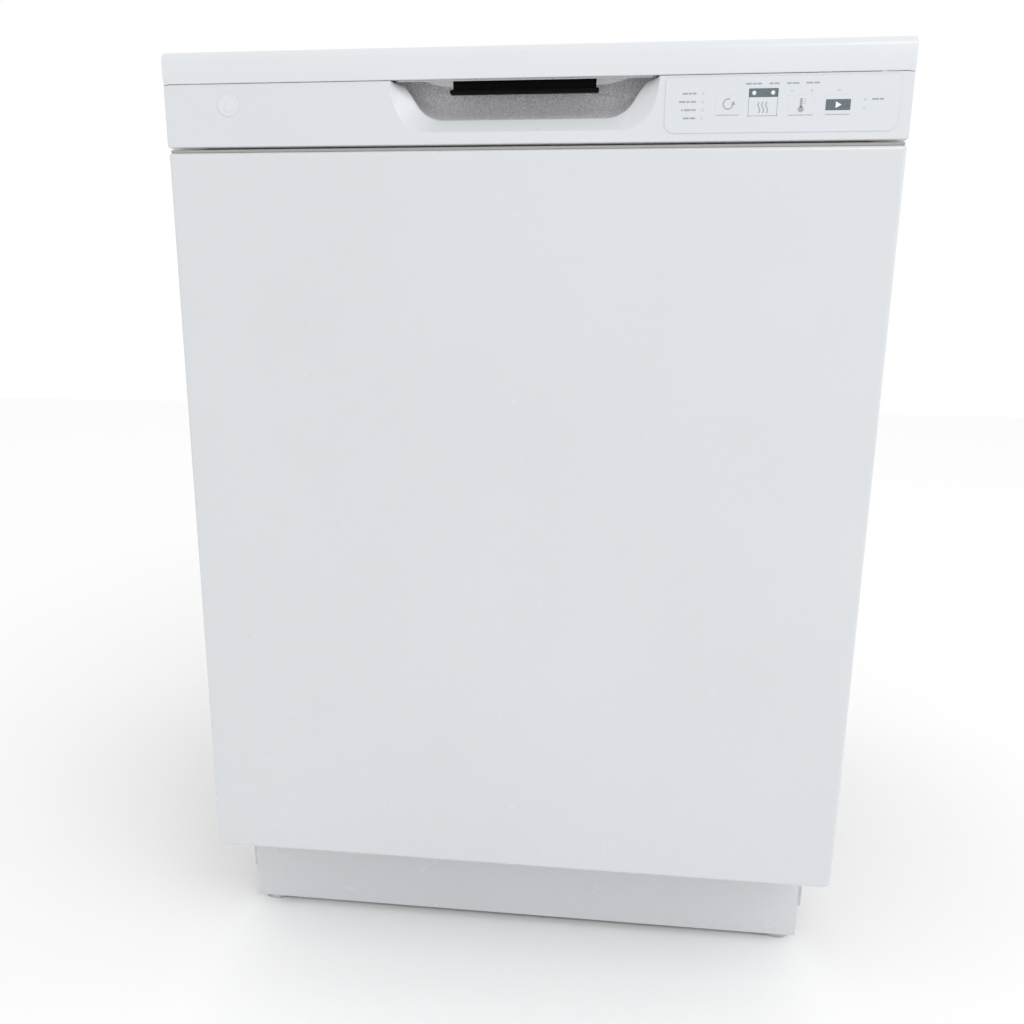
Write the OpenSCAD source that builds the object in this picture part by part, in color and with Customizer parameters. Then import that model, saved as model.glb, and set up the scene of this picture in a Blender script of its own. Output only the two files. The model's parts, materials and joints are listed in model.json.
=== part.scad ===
// Built-in dishwasher with a front control console, a recessed handle pocket and a drop-down door.
// Millimetres. The floor is z = 0, the door faces -Y, and the origin is under the middle of the box.

/* [Door and console] */
// Width of the door
door_w = 603; // [596:1:610]
// Depth from the door face to the back of the frame
body_d = 622; // [616:2:640]
// Height of the door's bottom edge above the floor
door_z = 112; // [108:1:118]
// Height of the painted door panel
panel_h = 658; // [640:1:670]
// Gap between the door panel and the console
console_gap = 4; // [3:0.5:5]
// Height of the console face below the top bar
console_h = 49; // [46:1:52]
// Height of the top bar
top_bar_h = 26; // [24:1:30]
// Half width of the handle pocket at its top
pocket_top = 103; // [90:1:110]
// Half width of the handle pocket at its bottom
pocket_bottom = 65; // [55:1:75]
// Height of the handle pocket's opening
pocket_h = 31; // [28:1:32]

/* [Tub] */
// Inside half width of the tub
tub_half = 278; // [276:1:278]
// Height of the tub's inside floor
tub_floor = 131; // [131:1:132]
// Height of the tub's inside ceiling
tub_top = 833; // [830:1:833]
// Radius of the tub's inside corners
tub_r = 28; // [20:1:34]
// Wall thickness of the tub
tub_wall = 3; // [2.5:0.5:3]

/* [Hinge and springs] */
// Height of the hinge pin
hinge_z = 128; // [126:1:129]
// Distance from the door face to the hinge pin
hinge_setback = 48; // [46:1:50]
// Radius of the hinge pin
pin_r = 5; // [4:0.5:6]
// Distance from the hinge pin to the spring peg, along Y and along Z
peg_offset = 21; // [20:0.5:22]

/* [Racks] */
// Diameter of the rack wire
wire_d = 4.4; // [3.6:0.2:5]
// Radius of the lower rack's wheels
wheel_r = 17; // [15:0.5:17]
// Height of the lower rack's bottom wires
lower_rack_z = 172; // [170:1:178]
// Height of the upper rack's bottom wires
upper_rack_z = 484; // [478:1:500]
// Number of tines in each row of the lower rack
tines = 10; // [6:1:10]

/* [Hidden] */
$fn = 48;
eps = 0.01;
half_w = door_w / 2;
front_y = -body_d / 2;
back_y = body_d / 2;
face_y = front_y + 1;                       // front of the door panel and console
console_z = door_z + panel_h + console_gap;
seam_z = console_z + console_h;             // underside of the top bar
top_z = seam_z + top_bar_h;
hinge_y = face_y + hinge_setback;
liner_y = hinge_y + 9;                      // inside face of the liner, level when the door is open
liner_half = 287;
liner_wall = 2.5;
liner_top = top_z - 4;
liner_z = hinge_z + 4;
flange_y = liner_y + 2;                     // front of the tub's flange
tub_back = 290;
tub_out = tub_half + tub_wall;
tub_out_z = tub_floor - tub_wall;
tub_out_top = tub_top + tub_wall;
arm_x = liner_half;                         // inner face of a hinge arm
arm_t = 3;
bracket_x = 293;                            // inner face of a hinge bracket
bracket_t = 2.5;
link_x = arm_x + arm_t + 0.6;
link_t = 1.8;
peg_y = hinge_y + peg_offset;
peg_z = hinge_z + peg_offset;
spring_x = 291.6;
spring_back = -72;
rail_x = 246;                               // middle of the wheel tracks
track_z = liner_y - hinge_y + hinge_z;      // top of the wheel tracks
wheel_z = track_z + wheel_r + 0.3;
wheel_t = 8;
wheel_ys = [-93, 207];
hub_y = 20;                                 // centre of the sump and the lower spray arm
steel = "silver";
white = "whitesmoke";

// Moves to both sides of the machine, mirrored across the middle.
module both() {
    children();
    mirror([1, 0, 0]) children();
}

// Box from its lowest corner to its highest corner.
module block(a, b) {
    translate(a) cube([b[0] - a[0], b[1] - a[1], b[2] - a[2]]);
}

// Rectangle with round corners, centred across X, standing from z0 to z1 and extruded along Y.
module slab(half, z0, z1, r, y0, y1) {
    translate([0, y1, 0]) rotate([90, 0, 0]) linear_extrude(y1 - y0)
        union() {
            translate([-half + r, z0]) square([2 * half - 2 * r, z1 - z0]);
            translate([-half, z0 + r]) square([2 * half, z1 - z0 - 2 * r]);
            for (x = [-half + r, half - r], z = [z0 + r, z1 - r])
                translate([x, z]) circle(r);
        }
}

// Straight wire between two points, with six flats.
module wire(a, b, d = wire_d) {
    v = b - a;
    len = norm(v);
    translate(a) rotate([0, acos(v[2] / len), atan2(v[1], v[0])])
        cylinder(d = d, h = len, $fn = 6);
}

// Round rod along X, Y or Z.
module rod_x(x0, x1, y, z, r) {
    translate([x0, y, z]) rotate([0, 90, 0]) cylinder(r = r, h = x1 - x0);
}
module rod_y(x, y0, y1, z, r) {
    translate([x, y1, z]) rotate([90, 0, 0]) cylinder(r = r, h = y1 - y0);
}
module rod_z(x, y, z0, z1, r) {
    translate([x, y, z0]) cylinder(r = r, h = z1 - z0);
}

// Widening of the pocket from 0 at its floor to 1 at the seam: full below, flared at the top.
function bulge(t) = 0.62 * pow(t, 0.22) + 0.38 * pow(t, 4);

// Outline of the handle pocket in X and Z: narrow floor, S-shaped sides, wide mouth.
// grow widens it all round, and reach carries it above the seam.
function pocket_side(grow, n = 12) = [for (i = [0:n]) let (t = pow(i / n, 1.7))
    [pocket_bottom + (pocket_top - pocket_bottom) * bulge(t) + grow,
     seam_z - pocket_h - grow + (pocket_h + grow) * t]];
module pocket_outline(grow, reach) {
    right = pocket_side(grow);
    n = len(right);
    polygon(concat(right,
        [[right[n - 1][0], seam_z + reach], [-right[n - 1][0], seam_z + reach]],
        [for (i = [n - 1:-1:0]) [-right[i][0], right[i][1]]]));
}
module pocket_prism(grow, reach, y0, y1) {
    translate([0, y1, 0]) rotate([90, 0, 0]) linear_extrude(y1 - y0)
        pocket_outline(grow, reach);
}

// ---------------------------------------------------------------- door

module outer_door_panel() {
    sheet = 1.2;
    color(white) difference() {
        slab(half_w, door_z, door_z + panel_h, 4.5, face_y, face_y + 28);
        slab(half_w - sheet, door_z + sheet, door_z + panel_h - sheet, 4.5 - sheet,
            face_y + sheet, face_y + 29);
    }
}

module inner_door_liner() {
    color("gainsboro") difference() {
        union() {
            block([-liner_half, liner_y - 22, liner_z], [liner_half, liner_y, liner_top + 1]);
            both() block([liner_half - 3, liner_y - 33, 440],
                [half_w - 1.2, liner_y - 20, console_z - 10]);
        }
        block([-liner_half + liner_wall, liner_y - 23, liner_z + liner_wall],
            [liner_half - liner_wall, liner_y - liner_wall, liner_top + 1 - liner_wall]);
        block([-96, liner_y - 5, 468], [96, liner_y + 1, 582]);
        block([-6, liner_y - 9, hook_z + 1], [6, liner_y + 1, top_z]);
    }
}

// Window of one key through the console and its overlay.
keys = [[162, 688, 20, 15], [188.75, 690, 23.5, 21.5], [217.8, 687.3, 20, 15],
    [245.8, 687.3, 20, 15]];
key_gap = 0.25;
module key_window(k, grow, y0, y1) {
    block([k[0] - k[2] / 2 - grow, y0, door_z + k[1] - k[3] / 2 - grow],
        [k[0] + k[2] / 2 + grow, y1, door_z + k[1] + k[3] / 2 + grow]);
}
lens_spots = [[142.5, 697], [142.5, 691], [142.5, 685], [142.5, 679], [210.5, 698],
    [225.6, 698], [246, 698], [266, 691], [266, 685]];
lens_r = 1.1;
console_wall = 2.5;
wall_back = face_y + console_wall;
overlay_t = 0.5;

module overlay_plate(y0, y1) {
    r = 8;
    translate([202.5, 0, 0]) slab(89.5, console_z + 6, seam_z - 2, r, y0, y1);
}

module control_console() {
    color(white) difference() {
        block([-half_w, face_y, console_z], [half_w, liner_y - 22, seam_z]);
        block([-half_w + console_wall, wall_back, console_z + console_wall],
            [half_w - console_wall, liner_y, seam_z + 1]);
        pocket_prism(0, 1, face_y - 1, wall_back + 1);
        pocket_prism(5, 1, face_y - 1, face_y + 1);
        overlay_plate(face_y - 1, face_y + overlay_t);
        for (k = keys) key_window(k, key_gap, face_y - 1, wall_back + 1);
        for (s = lens_spots)
            rod_y(s[0], face_y - 1, wall_back + 1, door_z + s[1], lens_r + 0.2);
    }
}

module console_top_bar() {
    r = 8;
    skin = 3.5;
    color(white) difference() {
        translate([-half_w, 0, 0]) rotate([90, 0, 90]) linear_extrude(door_w) union() {
            translate([front_y, seam_z]) square([liner_y - front_y, top_bar_h - r]);
            translate([front_y + r, seam_z]) square([liner_y - front_y - r, top_bar_h]);
            translate([front_y + r, top_z - r]) circle(r);
        }
        block([-half_w + skin, front_y + skin, seam_z - 1], [half_w - skin, liner_y + 1, top_z - 3]);
    }
}

// Hollow of the handle pocket: a scooped floor that rises to a flat back wall.
pocket_depth = 30;
pocket_rise = 18;
module pocket_space(grow) {
    scoop = 20;
    back = face_y + pocket_depth + grow;
    floor_z = seam_z - pocket_h - grow;
    intersection() {
        pocket_prism(grow, pocket_rise + grow, wall_back, back);
        translate([-130, 0, 0]) rotate([90, 0, 90]) linear_extrude(260) union() {
            translate([wall_back - 1, floor_z]) square([back - scoop - wall_back + 1, 60]);
            translate([wall_back, floor_z + scoop]) square([back - wall_back, 60]);
            translate([back - scoop, floor_z + scoop]) circle(scoop);
        }
    }
}

paddle_y = face_y + 12;
paddle_z = top_z - 14;
module handle_pocket() {
    color("darkgray") difference() {
        union() {
            difference() {
                pocket_space(2);
                translate([0, -eps, 0]) pocket_space(0);
            }
            both() block([61.5, paddle_y - 5, paddle_z - 6],
                [64, face_y + pocket_depth + 1, seam_z + pocket_rise + 1]);
        }
        rod_x(-70, 70, paddle_y, paddle_z, 2.55);
    }
}

module latch_paddle() {
    drop = 21;
    color([0.05, 0.05, 0.05]) union() {
        block([-57, paddle_y - 1.5, paddle_z - drop + 2], [57, paddle_y + 1.5, paddle_z + 1]);
        block([-60, paddle_y - 5, paddle_z - drop], [60, paddle_y + 2, paddle_z - drop + 3]);
        rod_x(-60.5, 60.5, paddle_y, paddle_z, 3);
        rod_x(-64, 64, paddle_y, paddle_z, 2.5);
    }
}

module control_overlay() {
    color([0.9, 0.91, 0.93]) difference() {
        overlay_plate(face_y, face_y + overlay_t);
        for (k = keys) key_window(k, key_gap, face_y - 1, wall_back);
        for (s = lens_spots) rod_y(s[0], face_y - 1, wall_back, door_z + s[1], lens_r + 0.2);
    }
}

module droplet_badge() {
    color(white) rod_y(-246, face_y - 0.6, face_y, door_z + 694.5, 9);
}

module indicator_lenses() {
    color("lightsteelblue") for (s = lens_spots)
        rod_y(s[0], face_y, wall_back + 3.5, door_z + s[1], lens_r);
}

module key_button(k) {
    union() {
        key_window(k, 0, face_y - 0.05, wall_back + 4);
        key_window(k, 1.2, wall_back + 0.3, wall_back + 1.3);
    }
}
module cycle_button() color([0.9, 0.91, 0.93]) key_button(keys[0]);
module dry_button() color([0.9, 0.91, 0.93]) key_button(keys[1]);
module temp_button() color([0.9, 0.91, 0.93]) key_button(keys[2]);
module start_button() color([0.9, 0.91, 0.93]) key_button(keys[3]);

module control_board() {
    y0 = wall_back + 5.5;
    color("darkgreen") union() {
        block([120, y0, console_z + 5], [290, y0 + 1.6, seam_z - 4]);
        block([125, y0 + 1.6, console_z + 9], [165, y0 + 14, seam_z - 10]);
        for (x = [185:24:257]) rod_y(x, y0 + 1.5, y0 + 12, seam_z - 22, 7);
        for (x = [122, 288], z = [console_z + 8, seam_z - 7]) rod_y(x, wall_back, y0 + 0.1, z, 2);
    }
}

hook_y = liner_y - 15;
hook_z = top_z - 15;
module latch_housing() {
    color("dimgray") difference() {
        block([-35, face_y + pocket_depth + 2, console_z + 30],
            [35, liner_y - liner_wall, top_z - 7]);
        block([-4.5, hook_y - 9, hook_z - 12], [4.5, liner_y, top_z]);
        rod_x(-36, 36, hook_y, hook_z, 2.55);
    }
}

module latch_hook() {
    color(steel) union() {
        block([-3, hook_y - 4, hook_z - 4], [3, hook_y + 4, hook_z + 8]);
        block([-3, hook_y, hook_z + 4], [3, liner_y + 10, hook_z + 8]);
        block([-3, liner_y + 6, hook_z + 3], [3, liner_y + 10, hook_z + 8]);
        rod_x(-30, 30, hook_y, hook_z, 2.5);
    }
}

lid_x0 = -72;
lid_w = 58;
lid_travel = 56;
cap_x = 72;
cap_z = 545;
module dispenser_body() {
    plate_y = liner_y + 3.5;
    color("lightgray") difference() {
        union() {
            block([-100, liner_y, 464], [100, plate_y, 586]);
            block([-95.5, liner_y - 19, 468.5], [95.5, liner_y + 1, 581.5]);
            block([lid_x0 - 3, plate_y - 1, 486], [lid_x0 + lid_w + lid_travel + 3, plate_y + 3, 489.5]);
            block([lid_x0 - 3, plate_y - 1, 560.5], [lid_x0 + lid_w + lid_travel + 3, plate_y + 3, 564]);
        }
        block([lid_x0 + 4, liner_y - 14, 494], [lid_x0 + lid_w - 6, plate_y + 4, 556]);
        rod_y(cap_x, liner_y - 12, plate_y + 1, cap_z, 10.05);
    }
}

module dispenser_lid() {
    y0 = liner_y + 3.8;
    color("gray") union() {
        block([lid_x0, y0, 490], [lid_x0 + lid_w, y0 + 2.2, 560]);
        block([lid_x0 + 6, y0 + 2, 515], [lid_x0 + 9, y0 + 5, 535]);
    }
}

module rinse_aid_cap() {
    y0 = liner_y + 3.8;
    color("royalblue") union() {
        rod_y(cap_x, y0, y0 + 4, cap_z, 18);
        rod_y(cap_x, liner_y - 6, y0 + 1, cap_z, 10);
        block([cap_x - 15, y0 + 3.5, cap_z - 2.5], [cap_x + 15, y0 + 7, cap_z + 2.5]);
    }
}

module door_insulation() {
    y0 = face_y + 1.2;
    color("dimgray") block([-280, y0, door_z + 20], [280, y0 + 6, door_z + panel_h - 12]);
}

module door_bottom_seal() {
    color([0.15, 0.15, 0.15])
        block([-272, liner_y, liner_z + 1.5], [272, liner_y + 1.6, liner_z + 4.5]);
}

module arm_outline() {
    tail = [peg_y - hinge_y, peg_offset];
    union() {
        circle(16);
        translate(tail) circle(8);
        polygon([[11, -11], tail + [6, -6], tail + [-6, 6], [-11, 11]]);
        translate([-19, 0]) square([23, 300]);
    }
}
module hinge_arms() {
    color(steel) both() difference() {
        union() {
            translate([arm_x, hinge_y, hinge_z]) rotate([90, 0, 90])
                linear_extrude(arm_t) arm_outline();
            rod_x(arm_x + 1, link_x + link_t + 0.4, peg_y, peg_z, 3);
        }
        rod_x(arm_x - 1, arm_x + arm_t + 1, hinge_y, hinge_z, pin_r + 0.05);
    }
}

module liner_screws() {
    color(steel) both() for (z = [180, 340, 500, 660, 800])
        rod_y(266, liner_y, liner_y + 1.8, z, 4);
}

// ---------------------------------------------------------------- cabinet

heater_r = 200;
heater_x = 75;                              // half width of the gap in the heater's ring
heater_end = sqrt(heater_r * heater_r - heater_x * heater_x);
float_x = -205;
float_y = -195;
cup_pos = [48, hub_y - 27];
module tub() {
    color("lightgray") difference() {
        union() {
            slab(tub_out, tub_out_z, tub_out_top, tub_r + tub_wall, flange_y, tub_back + tub_wall);
            slab(285.5, tub_out_z, top_z - 4, 6, flange_y, flange_y + 2.5);
        }
        difference() {
            slab(tub_half, tub_floor, tub_top, tub_r, flange_y - 1, tub_back);
            both() {
                block([rail_x - 10, flange_y + 3, tub_floor - 1], [rail_x + 10, tub_back + 1, track_z]);
                rod_x(roller_x - 2.7, tub_half + 1, roller_y, rail_z, axle_r);
            }
        }
        block([-8, flange_y - 1, tub_out_top + 0.5], [8, flange_y + 3, top_z]);
        rod_z(0, hub_y, tub_out_z - 1, tub_floor + 1, 88);
        rod_z(float_x, float_y, tub_out_z - 1, tub_floor + 1, 5);
        for (x = [-heater_x, heater_x])
            rod_z(x, hub_y + heater_end, tub_out_z - 1, tub_floor + 1, 4.5);
    }
}

module tub_gasket() {
    w = 2.5;
    color([0.12, 0.12, 0.12]) union() {
        both() block([282 - w, flange_y - 1.7, 150], [282 + w, flange_y, tub_top + 4 + 0.5]);
        block([-282, flange_y - 1.7, tub_top + 4 - 2], [282, flange_y, tub_top + 4 + 0.5]);
    }
}

module insulation_blanket() {
    color("dimgray") difference() {
        block([-296, -236, 190], [296, 286, top_z + 1]);
        block([-tub_out - 0.4, -237, 189], [tub_out + 0.4, 287, tub_out_top + 0.4]);
    }
}

module base_frame() {
    web_out = bracket_x + bracket_t;
    beam_top = tub_out_z - 0.1;
    color(steel) union() {
        both() {
            block([bracket_x, -240, 40], [web_out, back_y, 124]);
            block([bracket_x, hinge_y, hinge_z - 14], [web_out, -200, hinge_z + 12]);
            rod_x(bracket_x, web_out, hinge_y, hinge_z, 20);
            rod_x(arm_x + 0.3, bracket_x + 1, hinge_y, hinge_z, pin_r);
            block([bracket_x, -240, 123], [web_out, -222, 186]);
            block([tub_out, -236, 176], [bracket_x + 1, -226, 178]);
            block([262, -240, 40], [bracket_x + 1, back_y, 42.5]);
            block([bracket_x - 5, spring_back, 110], [web_out, spring_back + 6, 158]);
        }
        for (y = [-240, 150, back_y - 30]) difference() {
            block([-bracket_x - 1, y, 100], [bracket_x + 1, y + 30, beam_top]);
            block([-bracket_x, y + 2, 99], [bracket_x, y + 28, beam_top - 2.4]);
        }
        difference() {
            block([-bracket_x - 1, back_y - 2, 40], [bracket_x + 1, back_y, 110]);
            rod_y(spigot_x, back_y - 3, back_y + 1, spigot_z, 15);
        }
    }
}

module mounting_brackets() {
    t = 1.5;
    tab_top = top_z + 7;
    color(steel) both() difference() {
        union() {
            block([200, flange_y + 2.5, tub_out_top + 0.6], [230, flange_y + 4, tab_top]);
            block([200, flange_y - 26, tab_top - t], [230, flange_y + 4, tab_top]);
        }
        rod_z(215, flange_y - 13, top_z, top_z + 20, 2.6);
    }
}

module toe_kick() {
    y = -243;
    color(white) union() {
        block([-292, y, 6], [292, y + 1.2, 100]);
        block([-292, y, 98.8], [292, -240, 100]);
    }
}

module levelling_legs() {
    color("dimgray") both() for (y = [-224, 288]) {
        rod_z(274, y, 0, 8, 17);
        rod_z(274, y, 7, 40, 5);
        translate([274, y, 32]) cylinder(r = 11, h = 8, $fn = 6);
    }
}

port_x = 98;
hose_turn = -60;
hose_end = -64;
hose_z = 80;
module sump() {
    color("gray") difference() {
        union() {
            rod_z(0, hub_y, 56, tub_out_z, 95);
            rod_z(0, hub_y, tub_out_z - 4, tub_out_z, 104);
            rod_x(80, port_x, hub_y, 88, 24);
            rod_x(-port_x, -80, hub_y, 84, 18);
            rod_x(hose_end, -40, hose_turn, hose_z, 10);
        }
        rod_z(0, hub_y, 60, tub_out_z + 1, 87);
    }
}

module wash_pump() {
    color("dimgray") union() {
        rod_x(port_x, 116, hub_y, 88, 35);
        rod_x(115, 190, hub_y, 88, 32);
        rod_x(189, 196, hub_y, 88, 14);
    }
}

spigot_r = 9.5;
spigot_end = 54;
spigot_x = -125;
spigot_z = 84;
module drain_pump() {
    color("dimgray") union() {
        rod_x(-150, -port_x, hub_y, 84, 24);
        rod_x(-170, -149, hub_y, 84, 17);
        rod_y(spigot_x, hub_y + 15, hub_y + 25, spigot_z, 13);
        rod_y(spigot_x, hub_y + 15, hub_y + spigot_end, spigot_z, spigot_r);
    }
}

valve_x = -150;
inlet_r = 13.2;
module inlet_valve() {
    color("white") union() {
        block([valve_x - 20, -239, 60], [valve_x + 20, -204, 100]);
        rod_z(valve_x, -220, 44, 61, inlet_r);
        rod_y(valve_x, -205, -190, hose_z, 6);
        block([valve_x - 14, -205, 70], [valve_x + 14, -198, 98]);
    }
}

// Inside hose, clipped all the way from the valve to the sump.
module inlet_hose() {
    r = 8;
    color([0.2, 0.2, 0.2]) union() {
        rod_y(valve_x, -190, hose_turn, hose_z, r);
        translate([valve_x, hose_turn, hose_z]) sphere(r);
        rod_x(valve_x, hose_end, hose_turn, hose_z, r);
    }
}

module heating_element() {
    r = 3.5;
    z = tub_floor + 8;
    color("gray") union() {
        difference() {
            translate([0, hub_y, z]) rotate_extrude() translate([heater_r, 0]) circle(r);
            block([-heater_x, hub_y, z - 6], [heater_x, hub_y + heater_r + 10, z + 6]);
        }
        for (x = [-heater_x, heater_x]) translate([x, hub_y + heater_end, 0]) {
            translate([0, 0, z]) sphere(r + 0.6);
            rod_z(0, 0, 112, z, r);
            rod_z(0, 0, tub_floor, tub_floor + 3, 8);
        }
    }
}

module filter_plate() {
    color("gray") difference() {
        rod_z(0, hub_y, tub_floor, tub_floor + 2, 97);
        rod_z(0, hub_y, tub_floor - 1, tub_floor + 3, 17);
        rod_z(cup_pos[0], cup_pos[1], tub_floor - 1, tub_floor + 3, 30.3);
    }
}

module filter_cup() {
    color("darkgray") translate([cup_pos[0], cup_pos[1], 0]) union() {
        difference() {
            rod_z(0, 0, 70, tub_floor + 3, 30);
            rod_z(0, 0, 73, tub_floor + 4, 27.5);
        }
        block([-28.5, -2, tub_floor - 6], [28.5, 2, tub_floor + 8]);
    }
}

spindle_r = 7;
module spray_hub() {
    color("gray") union() {
        rod_z(0, hub_y, 60, 146, 16);
        rod_z(0, hub_y, 145, 168, spindle_r);
        rod_z(0, hub_y, 163.4, 168, 11);
    }
}

// Spray arm: a boss and two flat blades with a ring of nozzles, lying along X.
module spray_arm(z, reach, width, boss_r, bore_r) {
    blade_t = 9;
    difference() {
        union() {
            rod_z(0, hub_y, z - 1, z + 15, boss_r);
            for (side = [-1, 1]) {
                translate([side * reach / 2, hub_y, z + blade_t / 2 + 1])
                    cube([reach, width, blade_t], center = true);
                rod_z(side * reach, hub_y, z + 1, z + 1 + blade_t, width / 2);
                for (i = [1:4])
                    rod_z(side * reach * i / 4, hub_y + 6 * (i % 2) - 3, z + 9, z + 11.2, 3.5);
            }
        }
        rod_z(0, hub_y, z - 2, z + 16, bore_r);
    }
}
module lower_spray_arm() color("lightgray") spray_arm(147.4, 208, 34, 22, spindle_r + 0.05);

module rear_feed_tube() {
    y0 = tub_back - 20;
    color("gray") union() {
        block([-20, y0, 134], [20, tub_back, 818]);
        block([-14, hub_y + 16, 133.2], [14, y0 + 1, 144]);
        block([-10, hub_y, 806], [10, y0 + 1, 818]);
        rod_y(0, y0 - 5, y0 + 1, upper_rack_z - 13, 10);
    }
}

module top_sprinkler() {
    color("lightgray") union() {
        rod_z(0, hub_y + 12, 796, 806, 12);
        rod_z(0, hub_y + 12, 788, 797, 38);
    }
}

module float_cap() {
    color("lightgray") translate([float_x, float_y, 0]) union() {
        difference() {
            rod_z(0, 0, tub_floor + 0.3, tub_floor + 20, 20);
            rod_z(0, 0, tub_floor - 1, tub_floor + 17, 17.5);
        }
        rod_z(0, 0, 113, tub_floor + 18, 4);
    }
}

module float_switch() {
    color([0.2, 0.2, 0.2]) difference() {
        block([float_x - 13, float_y - 10, 96], [float_x + 13, float_y + 13, tub_out_z]);
        rod_z(float_x, float_y, 111, 130, 5);
    }
}

knockout_r = 11.1;
module junction_box() {
    wall = 1.5;
    low = [165, -239, 55];
    high = [225, -185, 100];
    t = [wall, wall, wall];
    color(steel) difference() {
        block(low, high);
        block(low + t, high - t);
        rod_z(195, (low[1] + high[1]) / 2, low[2] - 1, low[2] + wall + 0.5, knockout_r);
    }
}

module door_springs() {
    color(steel) both() rod_y(spring_x, -208, spring_back, peg_z, 5);
}

module spring_links() {
    slot_w = 9;
    rise = peg_offset * (sqrt(2) - 1);
    color(steel) both() difference() {
        block([link_x, peg_y - 10, peg_z - 9], [link_x + link_t, -208.05, peg_z + rise + 9]);
        block([link_x - 1, peg_y - slot_w / 2, peg_z - slot_w / 2],
            [link_x + link_t + 1, peg_y + slot_w / 2, peg_z + rise + slot_w / 2]);
        block([link_x - 1, peg_y + 10, peg_z + 8], [link_x + link_t + 1, -200, peg_z + 40]);
        block([link_x - 1, peg_y + 10, peg_z - 40], [link_x + link_t + 1, -200, peg_z - 6]);
    }
}

// ---------------------------------------------------------------- racks

// Grid of base wires: count_x wires along Y and count_y wires along X that sink into them.
module base_grid(half, y0, y1, z, count_x, count_y) {
    for (i = [0:count_x - 1]) let (x = -half + 2 * half * i / (count_x - 1))
        wire([x, y0, z], [x, y1, z]);
    for (i = [0:count_y - 1]) let (y = y0 + (y1 - y0) * i / (count_y - 1))
        wire([-half, y, z + wire_d / 2], [half, y, z + wire_d / 2]);
}

// Each rack is a set of mats: a floor, four walls and rows of tines. The real ones are welded
// together. Here a hair's gap keeps every mat a solid of its own.
mat_gap = 0.3;
mat_end = wire_d / 2 + mat_gap;             // from a wire's axis to where a crossing wire stops
tine_rail = wire_d * 1.5 + mat_gap + 0.1;   // height of the rail under a row of tines
function along(a, b, s) = a + (b - a) * s / norm(b - a);

// Wall wire from just off the floor mat at a, bent at the knee, up to the rim.
module wall_wire(a, knee, top) {
    wire(along(a, knee, wire_d + 2 * mat_gap), knee);
    wire(knee - [0, 0, 2], top);
}

// Four wire walls round a floor mat. Corner wires of the end walls stand inset from its corners.
module walls(base, half, base_y, out_y, z, knee, top, inset) {
    both() {
        for (zr = [knee, top])
            wire([half, out_y[0] + mat_end, zr], [half, out_y[1] - mat_end, zr]);
        for (i = [0:6]) let (y = base_y[0] + (base_y[1] - 4 - base_y[0]) * i / 6)
            wall_wire([base, y, z], [half, y, knee], [half, y, top + 2]);
    }
    for (k = [0, 1]) {
        for (zr = [knee, top]) wire([-half - 2, out_y[k], zr], [half + 2, out_y[k], zr]);
        for (i = [0:8]) let (x = (base - inset) * (i / 4 - 1))
            wall_wire([x, base_y[k], z], [x, out_y[k], knee], [x, out_y[k], top + 2]);
    }
}

low_half = 262;
low_base = 234;
low_front = -243;
low_base_front = -190;
low_back = 262;
low_rim = 300;
tine_h = 62;
tine_rows = [-120, -20, 80, 180];
axle_r = 3;
module lower_rack() {
    z = lower_rack_z;
    carrier_x = low_base + mat_end;
    color("white") {
        base_grid(low_base, low_base_front, low_back - 4, z, 9, 7);
        walls(low_base, low_half, [low_base_front, low_back - 4], [low_front, low_back], z, 230,
            low_rim, 7);
        for (y = tine_rows) {
            wire([6 - low_base, y + 2, z + tine_rail], [104, y + 2, z + tine_rail]);
            for (i = [0:tines - 1]) let (x = -208 + 34 * i)
                wire([x, y + 2, z + tine_rail], [x, y + 10, z + tine_h]);
        }
        both() for (y = wheel_ys) {
            block([carrier_x, y - 9, wheel_z - 6], [rail_x - wheel_t / 2 - 1, y + 9, z + 2]);
            rod_x(carrier_x + 1, rail_x + wheel_t / 2 + 2.4, y, wheel_z, axle_r);
            rod_x(rail_x + wheel_t / 2 + 0.4, rail_x + wheel_t / 2 + 2.4, y, wheel_z, 5.5);
        }
    }
}

module wheel(side, y) {
    color("gainsboro") difference() {
        rod_x(side * rail_x - wheel_t / 2, side * rail_x + wheel_t / 2, y, wheel_z, wheel_r);
        rod_x(side * rail_x - 10, side * rail_x + 10, y, wheel_z, axle_r + 0.05);
        for (a = [0:60:300]) translate([side * rail_x - 10, y, wheel_z]) rotate([a, 0, 0])
            rod_x(0, 20, 10, 0, 3);
    }
}
module wheel_front_left() wheel(-1, wheel_ys[0]);
module wheel_front_right() wheel(1, wheel_ys[0]);
module wheel_rear_left() wheel(-1, wheel_ys[1]);
module wheel_rear_right() wheel(1, wheel_ys[1]);

basket_x = [118, 222];
basket_y = [-150, 110];
basket_z = [lower_rack_z + wire_d, 292];
module silverware_basket() {
    wall = 2;
    cells = 4;
    pitch = (basket_y[1] - basket_y[0] - wall) / cells;
    mid = (basket_x[0] + basket_x[1]) / 2;
    color("gainsboro") difference() {
        block([basket_x[0], basket_y[0], basket_z[0]], [basket_x[1], basket_y[1], basket_z[1]]);
        for (i = [0:cells - 1]) {
            y = basket_y[0] + wall + pitch * i;
            block([basket_x[0] + wall, y, basket_z[0] + wall],
                [mid - wall / 2, y + pitch - wall, basket_z[1] + 1]);
            block([mid + wall / 2, y, basket_z[0] + wall],
                [basket_x[1] - wall, y + pitch - wall, basket_z[1] + 1]);
        }
    }
}

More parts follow.
